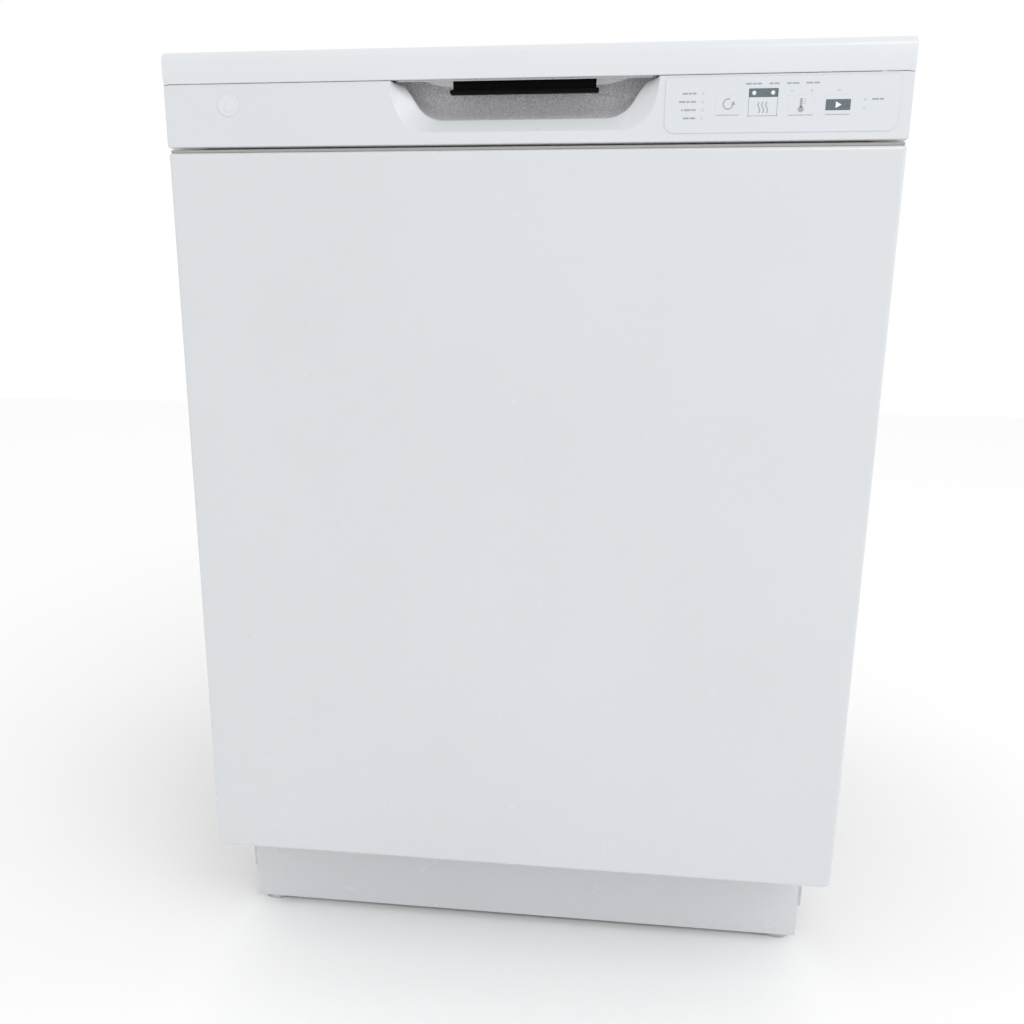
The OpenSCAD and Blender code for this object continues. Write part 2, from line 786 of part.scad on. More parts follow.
up_half = 240;
up_front = -230;
up_back = 258;
up_rim = 606;
rail_z = 552;
module upper_rack() {
    z = upper_rack_z;
    color("white") {
        base_grid(up_half - 12, up_front + 8, up_back - 4, z, 9, 7);
        walls(up_half - 12, up_half, [up_front + 8, up_back - 4], [up_front, up_back], z,
            (z + up_rim) / 2, up_rim, 6);
        both() for (y = [-140, 134])
            block([shelf_x - 4, y, up_rim - 3], [up_half + 1, y + 6, shelf_z - wire_d / 2 - 0.4]);
        for (x = [-171, -57, 57, 171]) {
            wire([x, -186, z + tine_rail], [x, 198, z + tine_rail]);
            for (y = [-180:62:192]) wire([x, y, z + tine_rail], [x + 6, y, z + 48]);
        }
        both() {
            difference() {
                block([up_half + 10, up_front - 2, rail_z - 17], [268, up_back - 2, rail_z + 17]);
                block([261, up_front - 3, rail_z - groove], [269, up_back, rail_z + groove]);
            }
            for (y = [-170, 20, 200])
                block([up_half + mat_end, y, rail_z - 10], [up_half + 11, y + 16, rail_z + 10]);
        }
    }
}

roller_r = 12;
groove = roller_r + 0.5;
roller_x = 264.5;
roller_y = -226;
module roller(side) {
    x = side * roller_x;
    color("gainsboro") difference() {
        rod_x(x - 3, x + 3, roller_y, rail_z, roller_r);
        rod_x(x - 4, x + 4, roller_y, rail_z, axle_r + 0.05);
    }
}
module roller_left() roller(-1);
module roller_right() roller(1);

mid_arm_z = upper_rack_z - 36.4;
module rack_manifold() {
    z = upper_rack_z - 13;
    color("gray") union() {
        rod_y(0, hub_y - 14, up_back + 2, z, 8);
        rod_z(0, hub_y, mid_arm_z - 5.6, z, spindle_r - 1);
        rod_z(0, hub_y, mid_arm_z - 5.6, mid_arm_z - 1.4, 10);
        for (y = [60, 230]) block([-5, y, z + 6], [5, y + 10, upper_rack_z - wire_d / 2]);
    }
}

module mid_spray_arm() color("lightgray") spray_arm(mid_arm_z, 180, 26, 16, spindle_r - 0.95);

// Folding shelf over one side of the upper rack, on a hinge wire along Y.
shelf_x = up_half - 8;
shelf_z = up_rim + wire_d + 0.4;
module cup_shelf(side) {
    y0 = -150;
    y1 = 150;
    w = 96;
    color("white") union() {
        rod_y(side * shelf_x, y0, y1, shelf_z, wire_d / 2);
        wire([side * (shelf_x - w), y0, shelf_z], [side * (shelf_x - w), y1, shelf_z]);
        for (i = [0:6]) let (y = y0 + 2 + (y1 - y0 - 4) * i / 6)
            wire([side * (shelf_x + 1), y, shelf_z], [side * (shelf_x - w - 1), y, shelf_z]);
    }
}
module cup_shelf_left() cup_shelf(-1);
module cup_shelf_right() cup_shelf(1);

outer_door_panel();
inner_door_liner();
control_console();
console_top_bar();
handle_pocket();
control_overlay();
droplet_badge();
indicator_lenses();
control_board();
latch_housing();
latch_paddle();
latch_hook();
cycle_button();
dry_button();
temp_button();
start_button();
dispenser_body();
dispenser_lid();
rinse_aid_cap();
door_insulation();
door_bottom_seal();
hinge_arms();
liner_screws();
tub();
tub_gasket();
insulation_blanket();
base_frame();
mounting_brackets();
toe_kick();
levelling_legs();
sump();
wash_pump();
drain_pump();
inlet_valve();
inlet_hose();
heating_element();
filter_plate();
filter_cup();
spray_hub();
lower_spray_arm();
rear_feed_tube();
top_sprinkler();
float_cap();
float_switch();
junction_box();
door_springs();
spring_links();
lower_rack();
silverware_basket();
wheel_front_left();
wheel_front_right();
wheel_rear_left();
wheel_rear_right();
upper_rack();
rack_manifold();
mid_spray_arm();
cup_shelf_left();
cup_shelf_right();
roller_left();
roller_right();
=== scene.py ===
# Built-in dishwasher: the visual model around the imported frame.
import json
import math

import bmesh
import bpy
from mathutils import Matrix, Vector, noise


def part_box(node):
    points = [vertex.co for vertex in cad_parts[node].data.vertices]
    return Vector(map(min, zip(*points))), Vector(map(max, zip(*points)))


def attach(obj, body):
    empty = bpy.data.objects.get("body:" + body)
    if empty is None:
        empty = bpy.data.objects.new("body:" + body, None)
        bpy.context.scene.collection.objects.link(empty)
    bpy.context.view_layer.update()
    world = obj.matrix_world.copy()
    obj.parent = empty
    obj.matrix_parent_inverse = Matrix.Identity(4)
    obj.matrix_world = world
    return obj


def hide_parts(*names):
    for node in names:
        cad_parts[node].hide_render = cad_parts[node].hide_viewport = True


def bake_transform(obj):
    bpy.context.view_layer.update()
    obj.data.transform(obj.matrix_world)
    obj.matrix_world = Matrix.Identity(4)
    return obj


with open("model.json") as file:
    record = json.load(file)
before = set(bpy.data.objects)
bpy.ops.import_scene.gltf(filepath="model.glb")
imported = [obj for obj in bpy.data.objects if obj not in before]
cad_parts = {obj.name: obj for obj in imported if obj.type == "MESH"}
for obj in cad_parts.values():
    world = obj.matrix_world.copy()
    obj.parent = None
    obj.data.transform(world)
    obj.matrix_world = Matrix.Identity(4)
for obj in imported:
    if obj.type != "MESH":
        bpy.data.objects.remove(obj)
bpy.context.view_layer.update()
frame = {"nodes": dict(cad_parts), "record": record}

MM = 0.001


# ---- frame values

def lo_hi(node):
    low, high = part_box(node)
    return Vector(low), Vector(high)


panel_lo, panel_hi = lo_hi("outer_door_panel")
console_lo, console_hi = lo_hi("control_console")
bar_lo, bar_hi = lo_hi("console_top_bar")
FACE_Y = panel_lo.y
HALF_W = panel_hi.x
SEAM_Z = bar_lo.z
DOOR_Z = panel_lo.z


# ---- mesh helpers

def place(name, mesh, material, smooth=True):
    """Put a mesh into the scene as an object."""
    obj = bpy.data.objects.new(name, mesh)
    bpy.context.scene.collection.objects.link(obj)
    mesh.materials.append(material)
    if smooth:
        mesh.shade_smooth()
    return obj


def add_mesh(name, verts, faces, material, smooth=True):
    mesh = bpy.data.meshes.new(name)
    mesh.from_pydata([tuple(v) for v in verts], [], faces)
    mesh.validate()
    return place(name, mesh, material, smooth)


def finish_bmesh(bm, name, material):
    bmesh.ops.recalc_face_normals(bm, faces=bm.faces)
    mesh = bpy.data.meshes.new(name)
    bm.to_mesh(mesh)
    bm.free()
    return place(name, mesh, material)


def outward(obj, weld=0):
    """Turn every face outwards; points closer than weld become one."""
    bm = bmesh.new()
    bm.from_mesh(obj.data)
    if weld:
        bmesh.ops.remove_doubles(bm, verts=bm.verts, dist=weld)
    bmesh.ops.recalc_face_normals(bm, faces=bm.faces)
    bm.to_mesh(obj.data)
    bm.free()
    return obj


def sharp(obj, degrees=35):
    obj.data.set_sharp_from_angle(angle=math.radians(degrees))
    return obj


def soft_box(name, low, high, radius, material, segments=3):
    """A box with every edge rounded."""
    bm = bmesh.new()
    bmesh.ops.create_cube(bm, size=1)
    for v in bm.verts:
        v.co = Vector((low[i] + (v.co[i] + 0.5) * (high[i] - low[i]) for i in range(3)))
    bmesh.ops.bevel(bm, geom=bm.edges[:], offset=radius, segments=segments, profile=0.5,
                    affect="EDGES")
    return finish_bmesh(bm, name, material)


def thicken(obj, thickness, offset):
    """Give a sheet its wall, as mesh."""
    wall = obj.modifiers.new("wall", "SOLIDIFY")
    wall.thickness, wall.offset = thickness, offset
    depsgraph = bpy.context.evaluated_depsgraph_get()
    mesh = bpy.data.meshes.new_from_object(obj.evaluated_get(depsgraph))
    obj.modifiers.clear()
    obj.data = mesh
    return obj


def join(name, parts):
    """One object from several, keeping their materials."""
    for o in bpy.context.selected_objects:
        o.select_set(False)
    for o in parts:
        o.select_set(True)
    bpy.context.view_layer.objects.active = parts[0]
    bpy.ops.object.join()
    parts[0].name = name
    return parts[0]


def quarter(steps):
    """Angles from 0 to 90 degrees."""
    return [math.radians(90 * i / steps) for i in range(steps + 1)]


def round_rect(x0, x1, z0, z1, radii, steps=6):
    """Closed outline, anticlockwise from the lower left; radii in the same order."""
    corners = [(x0, z0, 180), (x1, z0, 270), (x1, z1, 0), (x0, z1, 90)]
    inward = [(1, 1), (-1, 1), (-1, -1), (1, -1)]
    points = []
    for (x, z, start), (sx, sz), r in zip(corners, inward, radii):
        for i in range(steps + 1):
            a = math.radians(start + 90 * i / steps)
            points.append((x + sx * r + r * math.cos(a), z + sz * r + r * math.sin(a)))
    return points


def loft(rings, closed=True, first=False, last=False):
    """Verts and quads through rings of equal length, and a face over the first or last one."""
    count = len(rings[0])
    verts = [p for ring in rings for p in ring]
    faces = []
    for k in range(len(rings) - 1):
        for i in range(count if closed else count - 1):
            j = (i + 1) % count
            faces.append((k * count + i, k * count + j, (k + 1) * count + j, (k + 1) * count + i))
    if first:
        faces.append(tuple(range(count)))
    if last:
        faces.append(tuple(range(len(verts) - count, len(verts))))
    return verts, faces


def skin(bm, rows, closed=True):
    """The same quads between rows of bmesh verts."""
    count = len(rows[0])
    for a, b in zip(rows, rows[1:]):
        for i in range(count if closed else count - 1):
            j = (i + 1) % count
            bm.faces.new((a[i], a[j], b[j], b[i]))


def merged(shapes):
    """Verts and faces of several shapes as one."""
    verts, faces = [], []
    for more_verts, more_faces in shapes:
        base = len(verts)
        verts += more_verts
        faces += [tuple(base + i for i in face) for face in more_faces]
    return verts, faces


def path_lengths(points):
    """Distance along a line at each of its points."""
    lengths = [0]
    for a, b in zip(points, points[1:]):
        lengths.append(lengths[-1] + math.dist(a, b))
    return lengths


def spread(points, shares):
    """Points along a line at given shares of its length."""
    lengths = path_lengths(points)
    out, k = [], 0
    for share in shares:
        s = share * lengths[-1]
        while k < len(points) - 2 and lengths[k + 1] < s:
            k += 1
        t = (s - lengths[k]) / (lengths[k + 1] - lengths[k])
        out.append(tuple(a + (b - a) * t for a, b in zip(points[k], points[k + 1])))
    return out


def tray(name, x0, x1, z0, z1, y_front, depth, radii, edge, wall, material):
    """Folded sheet-metal tray: a flat face at y_front, rounded edges and returns to the back."""
    least_radius, face_margin = 0.0003, 0.002

    def ring(inset, y):
        rs = [max(r - inset, least_radius) for r in radii]
        return [Vector((x, y, z)) for x, z in
                round_rect(x0 + inset, x1 - inset, z0 + inset, z1 - inset, rs)]

    y_back = y_front + depth
    rolled = [ring(edge * (1 - math.cos(a)), y_front + edge * (1 - math.sin(a)))
              for a in quarter(6)]
    outer = [ring(wall, y_back), ring(0, y_back), *rolled, ring(edge + face_margin, y_front)]
    inner = [ring(wall, y_back), ring(wall, y_front + edge), ring(edge, y_front + wall)]
    verts, faces = merged([loft(outer, last=True), loft(inner, last=True)])
    return sharp(outward(add_mesh(name, verts, faces, material), 1e-6))


def prism(name, points, y0, y1, material, holes):
    """Flat plate from an X-Z outline with holes, between two depths."""
    bm = bmesh.new()
    loops = []
    for outline in [points, *holes]:
        ring = [bm.verts.new((x, y0, z)) for x, z in outline]
        loops.append([bm.edges.new((ring[i], ring[(i + 1) % len(ring)]))
                      for i in range(len(ring))])
    bmesh.ops.triangle_fill(bm, edges=[e for loop in loops for e in loop], use_beauty=True,
                            use_dissolve=False, normal=(0, -1, 0))
    grown = bmesh.ops.extrude_face_region(bm, geom=bm.faces[:])
    for v in [g for g in grown["geom"] if isinstance(g, bmesh.types.BMVert)]:
        v.co.y = y1
    return sharp(finish_bmesh(bm, name, material), 30)


def disc(x, z, r, n=24):
    return [(x + r * math.cos(2 * math.pi * i / n), z + r * math.sin(2 * math.pi * i / n))
            for i in range(n)]


def fillet_path(points, radius, steps):
    """Polyline with its corners rounded."""
    points = [Vector(p) for p in points]
    out = [points[0]]
    for a, b, c in zip(points, points[1:], points[2:]):
        u, v = (a - b).normalized(), (c - b).normalized()
        cut = min(radius, (a - b).length * 0.45, (c - b).length * 0.45)
        start, end = b + u * cut, b + v * cut
        for i in range(steps + 1):
            t = i / steps
            out.append(start * (1 - t) ** 2 + b * 2 * t * (1 - t) + end * t ** 2)
    out.append(points[-1])
    return out


def tube_data(path, radius, sides):
    """Verts and faces of a round tube along a path, with domed ends."""
    pts = [Vector(p) for p in path]
    last = len(pts) - 1
    angles = [2 * math.pi * k / sides for k in range(sides)]
    rings, normal = [], None
    for i, p in enumerate(pts):
        t = (pts[min(i + 1, last)] - pts[max(i - 1, 0)]).normalized()
        if normal is None:
            normal = t.orthogonal().normalized()
        normal = (normal - t * normal.dot(t)).normalized()
        side = t.cross(normal)
        rings.append([p + (normal * math.cos(a) + side * math.sin(a)) * radius for a in angles])
    verts, faces = loft(rings)
    for end, i in ((-1, 0), (1, last)):
        t = (pts[i] - pts[i - end]).normalized()
        tip = len(verts)
        verts.append(pts[i] + t * radius * 0.5)
        faces += [(i * sides + k, i * sides + (k + 1) % sides, tip) for k in range(sides)]
    return verts, faces


def wires(name, paths, radius, material, sides=8):
    """One object from many wires; each path is a list of points, or (points, radius)."""
    tubes = []
    for path in paths:
        points, r = path if isinstance(path, tuple) else (path, radius)
        tubes.append(tube_data(points, r, sides))
    return outward(add_mesh(name, *merged(tubes), material))


# ---- materials

MATERIALS = {}


class Shader:
    """A material with a Principled shader and short calls for its procedural detail."""

    def __init__(self, name, **sockets):
        self.mat = MATERIALS[name] = bpy.data.materials.new(name)
        self.mat.use_nodes = True
        self.tree = self.mat.node_tree
        self.bsdf = self.tree.nodes["Principled BSDF"]
        self.coords = self.tree.nodes.new("ShaderNodeTexCoord").outputs["Object"]
        for key, value in sockets.items():
            self.bsdf.inputs[key.replace("_", " ")].default_value = value

    def node(self, kind, inputs, **settings):
        n = self.tree.nodes.new(kind)
        for key, value in settings.items():
            setattr(n, key, value)
        for key, value in inputs.items():
            if isinstance(value, bpy.types.NodeSocket):
                self.tree.links.new(value, n.inputs[key])
            else:
                n.inputs[key].default_value = value
        return n

    def stretched(self, scale):
        return self.node("ShaderNodeMapping", {"Vector": self.coords, "Scale": scale}
                         ).outputs["Vector"]

    def noise(self, scale, detail=2.0, rough=0.5, vector=None):
        return self.node("ShaderNodeTexNoise", {
            "Vector": vector or self.coords, "Scale": scale, "Detail": detail,
            "Roughness": rough}).outputs["Fac"]

    def cells(self, scale, output="Distance"):
        return self.node("ShaderNodeTexVoronoi", {"Vector": self.coords, "Scale": scale}
                         ).outputs[output]

    def spread(self, value, low, high, from_low=0.3, from_high=0.7):
        return self.node("ShaderNodeMapRange", {
            "Value": value, "From Min": from_low, "From Max": from_high, "To Min": low,
            "To Max": high}).outputs["Result"]

    def ramp(self, value, *stops):
        n = self.node("ShaderNodeValToRGB", {"Fac": value})
        elements = n.color_ramp.elements
        while len(elements) < len(stops):
            elements.new(0.5)
        for element, (place, color) in zip(elements, stops):
            element.position = place
            element.color = (*color, 1)
        return n.outputs["Color"]

    def math(self, operation, a, b):
        return self.node("ShaderNodeMath", {0: a, 1: b}, operation=operation).outputs[0]

    def color(self, value):
        self.tree.links.new(value, self.bsdf.inputs["Base Color"])

    def mottle(self, value, color, low, high):
        """The colour, darker and lighter by the given factors."""
        self.color(self.ramp(value, (0.3, shade(color, low)), (0.7, shade(color, high))))

    def roughness(self, value):
        self.tree.links.new(value, self.bsdf.inputs["Roughness"])

    def bump(self, height, strength, distance):
        previous = self.bsdf.inputs["Normal"]
        inputs = {"Height": height, "Strength": strength, "Distance": distance}
        if previous.is_linked:
            inputs["Normal"] = previous.links[0].from_socket
        n = self.node("ShaderNodeBump", inputs)
        self.tree.links.new(n.outputs["Normal"], previous)


def shade(color, factor):
    return tuple(c * factor for c in color)


def moulded(name, color, rough, grain, depth, mottle, strength=0.35, **more):
    """Moulded plastic: fine spark texture, faint flow marks and uneven gloss."""
    s = Shader(name, Metallic=0.0, **more)
    s.mottle(s.noise(9, 4), color, 1 - mottle, 1 + mottle)
    s.roughness(s.spread(s.noise(60, 4), rough - 0.05, rough + 0.05))
    s.bump(s.noise(grain, 2), strength, depth)


def enamel(name, color, rough):
    """Baked enamel on sheet steel: orange peel under a clear, glossy skin."""
    s = Shader(name, Coat_Weight=0.35, Coat_Roughness=0.12, Specular_IOR_Level=0.5)
    s.mottle(s.noise(5, 3), color, 0.985, 1.01)
    s.roughness(s.spread(s.noise(30, 3), rough - 0.03, rough + 0.04))
    s.bump(s.noise(260, 1), 0.03, 0.0001)
    s.bump(s.noise(14, 1), 0.03, 0.0015)


def zinc(name, color):
    """Zinc-coated sheet: crystal spangle with uneven sheen and faint scratches."""
    s = Shader(name, Metallic=1.0)
    spangle = s.cells(90, output="Color")
    value = s.node("ShaderNodeSeparateColor", {"Color": spangle}).outputs["Red"]
    s.color(s.ramp(value, (0.1, shade(color, 0.82)), (0.9, shade(color, 1.06))))
    s.roughness(s.spread(value, 0.30, 0.48, 0, 1))
    s.bump(s.noise(900, 3, vector=s.stretched((1, 0.05, 1))), 0.12, 0.00003)


def brushed(name, color, rough, along=(0.03, 1, 1)):
    """Steel with fine brush lines."""
    s = Shader(name, Metallic=1.0)
    lines = s.noise(1600, 3, vector=s.stretched(along))
    s.mottle(lines, color, 0.9, 1.06)
    s.roughness(s.spread(lines, rough - 0.05, rough + 0.08))
    s.bump(lines, 0.12, 0.00002)


def spark_grey(name, color, dark=0.72, bright=1.42):
    """Coarse spark-eroded grey plastic with a light sparkle."""
    s = Shader(name, Specular_IOR_Level=0.5)
    grains = s.cells(1500)
    speck = s.noise(1050, 3, 0.75)
    s.color(s.ramp(speck, (0.36, shade(color, dark)), (0.52, color), (0.66, shade(color, bright))))
    s.roughness(s.spread(speck, 0.42, 0.6))
    s.bump(grains, 0.45, 0.00012)


def felt(name, color):
    """Needled cotton felt: fibres in every direction and flecks of lighter lint."""
    s = Shader(name, Roughness=0.95, Sheen_Weight=0.35, Sheen_Roughness=0.5)
    fibres = s.noise(900, 6, 0.75, vector=s.stretched((1, 0.35, 1)))
    cross = s.noise(760, 6, 0.75, vector=s.stretched((0.4, 1, 0.5)))
    both = s.math("MULTIPLY", fibres, cross)
    s.color(s.ramp(both, (0.12, shade(color, 0.45)), (0.27, color), (0.45, shade(color, 2.1))))
    s.bump(both, 0.8, 0.0012)
    s.bump(s.noise(45, 4), 0.5, 0.004)


def rubber(name, color):
    s = Shader(name, Specular_IOR_Level=0.35)
    s.mottle(s.noise(50, 5), color, 0.8, 1.35)
    s.roughness(s.spread(s.noise(240, 3), 0.55, 0.75))
    s.bump(s.noise(1200, 2), 0.3, 0.00004)


def ink(name, color, rough=0.45):
    s = Shader(name)
    s.mottle(s.noise(700, 3), color, 0.94, 1.05)
    s.roughness(s.spread(s.noise(400, 2), rough - 0.05, rough + 0.05))
    return s.mat


WHITE = (0.665, 0.685, 0.71)
GLOSS = {"Coat_Weight": 0.15, "Coat_Roughness": 0.2}

enamel("white_enamel", shade(WHITE, 0.94), 0.24)
moulded("white_plastic", WHITE, 0.32, 1100, 0.00002, 0.008, 0.2, **GLOSS)
# The bar's white plastic, 4.5 per cent darker on the console: painted shade.
moulded("console_plastic_shaded", shade(WHITE, 0.955), 0.32, 1100, 0.00002, 0.008, 0.2, **GLOSS)
# Dark grey of the strip behind the console's gap: painted shade.
moulded("gap_shade_grey", (0.40, 0.39, 0.37), 0.6, 1500, 0.00003, 0.02)
spark_grey("pocket_plastic", (0.63, 0.62, 0.645))
# A lighter copy of the pocket's grey for the band over the back wall: painted light.
spark_grey("pocket_painted_light", (0.92, 0.91, 0.93), 0.9, 1.05)
moulded("black_plastic", (0.003, 0.003, 0.0035), 0.5, 1500, 0.00004, 0.1,
        Specular_IOR_Level=0.05)
moulded("overlay_film", (0.63, 0.655, 0.685), 0.36, 2400, 0.00002, 0.006)
moulded("lens_plastic", (0.56, 0.59, 0.62), 0.3, 900, 0.00001, 0.02)
moulded("circuit_board", (0.02, 0.12, 0.045), 0.4, 500, 0.0001, 0.2)
moulded("tub_plastic", (0.42, 0.43, 0.445), 0.42, 1300, 0.00005, 0.03)
moulded("blue_plastic", (0.05, 0.16, 0.42), 0.4, 1300, 0.00004, 0.04)
moulded("spray_plastic", (0.27, 0.28, 0.30), 0.45, 1200, 0.00006, 0.04)
moulded("pump_plastic", (0.02, 0.02, 0.022), 0.5, 900, 0.00008, 0.12)
moulded("valve_plastic", (0.72, 0.71, 0.67), 0.4, 1200, 0.00004, 0.03)
moulded("wheel_plastic", (0.60, 0.62, 0.65), 0.35, 1500, 0.00003, 0.02)
moulded("rack_coating", (0.52, 0.56, 0.62), 0.38, 700, 0.00006, 0.03,
        Coat_Weight=0.2, Coat_Roughness=0.25)
rubber("black_rubber", (0.018, 0.018, 0.018))
rubber("sound_pad", (0.035, 0.03, 0.026))
felt("blanket_felt", (0.16, 0.16, 0.17))
zinc("galvanised_steel", (0.60, 0.61, 0.63))
brushed("spring_steel", (0.30, 0.305, 0.31), 0.35, (1, 0.05, 1))
brushed("stainless", (0.56, 0.55, 0.53), 0.3)
PRINT_GREY = ink("print_grey", (0.33, 0.345, 0.365))
PRINT_BADGE = ink("print_badge", (0.105, 0.14, 0.16), 0.35)
# Grey ring round the film's edge: a painted shade line, not print.
PAINTED_EDGE_SHADE = ink("painted_edge_shade", (0.585, 0.605, 0.63))
PRINT_WHITE = ink("print_white", (0.82, 0.84, 0.86), 0.4)

SLOT_OF = {p["node"]: p["material_slot"] for p in frame["record"]["subparts"]}
for node_name, node_object in frame["nodes"].items():
    node_object.data.materials.clear()
    node_object.data.materials.append(MATERIALS[SLOT_OF[node_name]])


def stand_in(piece, body, *nodes):
    """The piece rides on a body in place of CAD nodes, which are hidden."""
    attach(piece, body)
    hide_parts(*nodes)


def trim(piece, body):
    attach(piece, body)


# ---- door skin

def build_door_panel():
    panel = tray("door_skin", panel_lo.x, panel_hi.x, panel_lo.z, panel_hi.z, FACE_Y,
                 panel_hi.y - FACE_Y, (0.006, 0.006, 0.002, 0.002), 0.0035, 0.0012,
                 MATERIALS["white_enamel"])
    stand_in(panel, "door", "outer_door_panel")


# The handle pocket's outline up one side: height over its floor and half width, as measured.
POCKET_SIDE = [(0.0, 0.0655), (0.0002, 0.0695), (0.0008, 0.0729), (0.0017, 0.0757),
               (0.0029, 0.0782), (0.0042, 0.0806), (0.0057, 0.0828), (0.0078, 0.0850),
               (0.0102, 0.0871), (0.0132, 0.0891), (0.0163, 0.0911), (0.0194, 0.0932),
               (0.0224, 0.0954), (0.0254, 0.0981), (0.0274, 0.1012), (0.0284, 0.1045)]
POCKET_H = POCKET_SIDE[-1][0]
EDGE_STEPS = 3                         # steps between two listed points
FLOOR_STEPS = 16                       # steps along the floor
# The rim's outer edge is a superellipse: its depth below the opening, half widths and power.
RIM, RIM_FLOOR, RIM_TOP, RIM_POWER = 0.0121, 0.075, 0.1084, 2.4


def pocket_half(h):
    """Half width of the opening at a height over its floor, through a smooth curve."""
    pts = POCKET_SIDE
    for k in range(len(pts) - 1):
        if h <= pts[k + 1][0]:
            break
    before, after = pts[max(k - 1, 0)], pts[min(k + 2, len(pts) - 1)]
    (h0, a), (h1, b) = pts[k], pts[k + 1]
    span = h1 - h0
    t = (h - h0) / span
    ma = (b - before[1]) / (h1 - before[0]) * span if k else (b - a)
    mb = (after[1] - a) / (after[0] - h0) * span if k < len(pts) - 2 else (b - a)
    return ((2 * t ** 3 - 3 * t ** 2 + 1) * a + (t ** 3 - 2 * t ** 2 + t) * ma
            + (-2 * t ** 3 + 3 * t ** 2) * b + (t ** 3 - t ** 2) * mb)


def pocket_edge():
    """One side of the opening, from its floor up to the seam."""
    side = []
    for (h0, _), (h1, _) in zip(POCKET_SIDE, POCKET_SIDE[1:]):
        for i in range(EDGE_STEPS):
            h = h0 + (h1 - h0) * i / EDGE_STEPS
            side.append((pocket_half(h), SEAM_Z - POCKET_H + h))
    return side + [(POCKET_SIDE[-1][1], SEAM_Z)]


def rim_edge():
    """Outer edge of the rim on one side: wider than the opening, and upright at the seam."""
    curve = [(RIM_FLOOR + (RIM_TOP - RIM_FLOOR) * math.sin(a) ** (2 / RIM_POWER),
              SEAM_Z - (POCKET_H + RIM) * math.cos(a) ** (2 / RIM_POWER)) for a in quarter(80)]
    lengths = path_lengths(pocket_edge())
    return spread(curve, [s / lengths[-1] for s in lengths])


def pocket_curve(share, lift=0.0, grow=0.0):
    """Outline of the pocket, open at its top: right side down, floor, left side up.

    share runs from 0 at the opening to 1 at the rim's outer edge.
    """
    side = [(a[0] + (b[0] - a[0]) * share + grow, a[1] + (b[1] - a[1]) * share - grow)
            for a, b in zip(pocket_edge(), rim_edge())]
    side[-1] = (side[-1][0], SEAM_Z)
    half, floor_z = side[0]
    floor = [(half * (1 - 2 * i / FLOOR_STEPS), floor_z) for i in range(1, FLOOR_STEPS)]
    points = list(reversed(side)) + floor + [(-x, z) for x, z in side]
    if lift:
        top = SEAM_Z + lift
        points = [(points[0][0], top)] + points + [(points[-1][0], top)]
    return points


CONSOLE_CORNER = 0.0012
CONSOLE_EDGE = 0.0009


def corner_arc(x0, x1, z0):
    """Lower left corner, then lower right, of the console's outline."""
    arc = [(x0 + CONSOLE_CORNER * (1 - math.cos(a)), z0 + CONSOLE_CORNER * (1 - math.sin(a)))
           for a in quarter(4)]
    return arc, [(x1 + x0 - x, z) for x, z in reversed(arc)]


def console_outline(low_x, high_x, low_z, top_z):
    """Console face with the rim of the pocket cut out of its top edge."""
    rim = pocket_curve(1)
    left, right = corner_arc(low_x, high_x, low_z)
    return [*left, *right, (high_x, top_z), (rim[0][0], top_z), *rim[1:-1],
            (rim[-1][0], top_z), (low_x, top_z)]


KEYS = {name: lo_hi(name + "_button") for name in ("cycle", "dry", "temp", "start")}
KEY_GAP = 0.00002
KEY_COLLAR = 0.0012                    # how far a key's collar stands out round its face
KEY_CORNER = 0.0012


def key_outline(low, high, grow, steps):
    """Outline of a key's face, grown all round."""
    return round_rect(low.x + KEY_COLLAR - grow, high.x - KEY_COLLAR + grow,
                      low.z + KEY_COLLAR - grow, high.z - KEY_COLLAR + grow,
                      [KEY_CORNER] * 4, steps)


def key_windows():
    """Holes for the keys, a hair wider than the keys' own faces."""
    return [key_outline(low, high, KEY_GAP, 3) for low, high in KEYS.values()]


def rounded_sides(x0, x1, z0, z1, material):
    """The console's ends and floor: a rolled edge from the flat face round to the back."""
    rolled = [(CONSOLE_EDGE * (1 - math.sin(a)), FACE_Y + CONSOLE_EDGE * (1 - math.cos(a)))
              for a in quarter(6)]
    bm = bmesh.new()
    rows = []
    for inset, y in [*rolled, (0, console_hi.y)]:
        left, right = corner_arc(x0 + inset, x1 - inset, z0 + inset)
        rows.append([bm.verts.new((x, y, z)) for x, z in
                     [(x0 + inset, z1), *left, *right, (x1 - inset, z1)]])
    skin(bm, rows, closed=False)
    return finish_bmesh(bm, "console_sides", material)


POST_W = 0.004
POST_EDGE = 0.0009
BAR_ROLL = 0.008
BAR_FOOT = 0.0007
BAR_LEAN = 0.0006                      # how far the front leans back at its top


def bar_profile(wall=None):
    """Front and top of the bar in Y and Z, from the seam up; closed inside when wall is given."""
    y0, y1, z0, z1 = bar_lo.y, bar_hi.y, SEAM_Z, bar_hi.z
    points = [(y0 + BAR_FOOT * (1 - math.sin(a)), z0 + BAR_FOOT * (1 - math.cos(a)))
              for a in quarter(3)]
    points += [(y0 + BAR_ROLL * (1 - math.cos(a)) + BAR_LEAN * math.sin(a),
                z1 - BAR_ROLL + BAR_ROLL * math.sin(a)) for a in quarter(12)]
    points.append((y1, z1))
    if wall:
        points += [(y1, z1 - wall), (y0 + BAR_ROLL, z1 - wall),
                   (y0 + wall + 0.002, z1 - wall - 0.002), (y0 + wall, z1 - BAR_ROLL),
                   (y0 + wall, z0 + 0.0002), (y0 + BAR_FOOT + 0.0006, z0)]
    return points


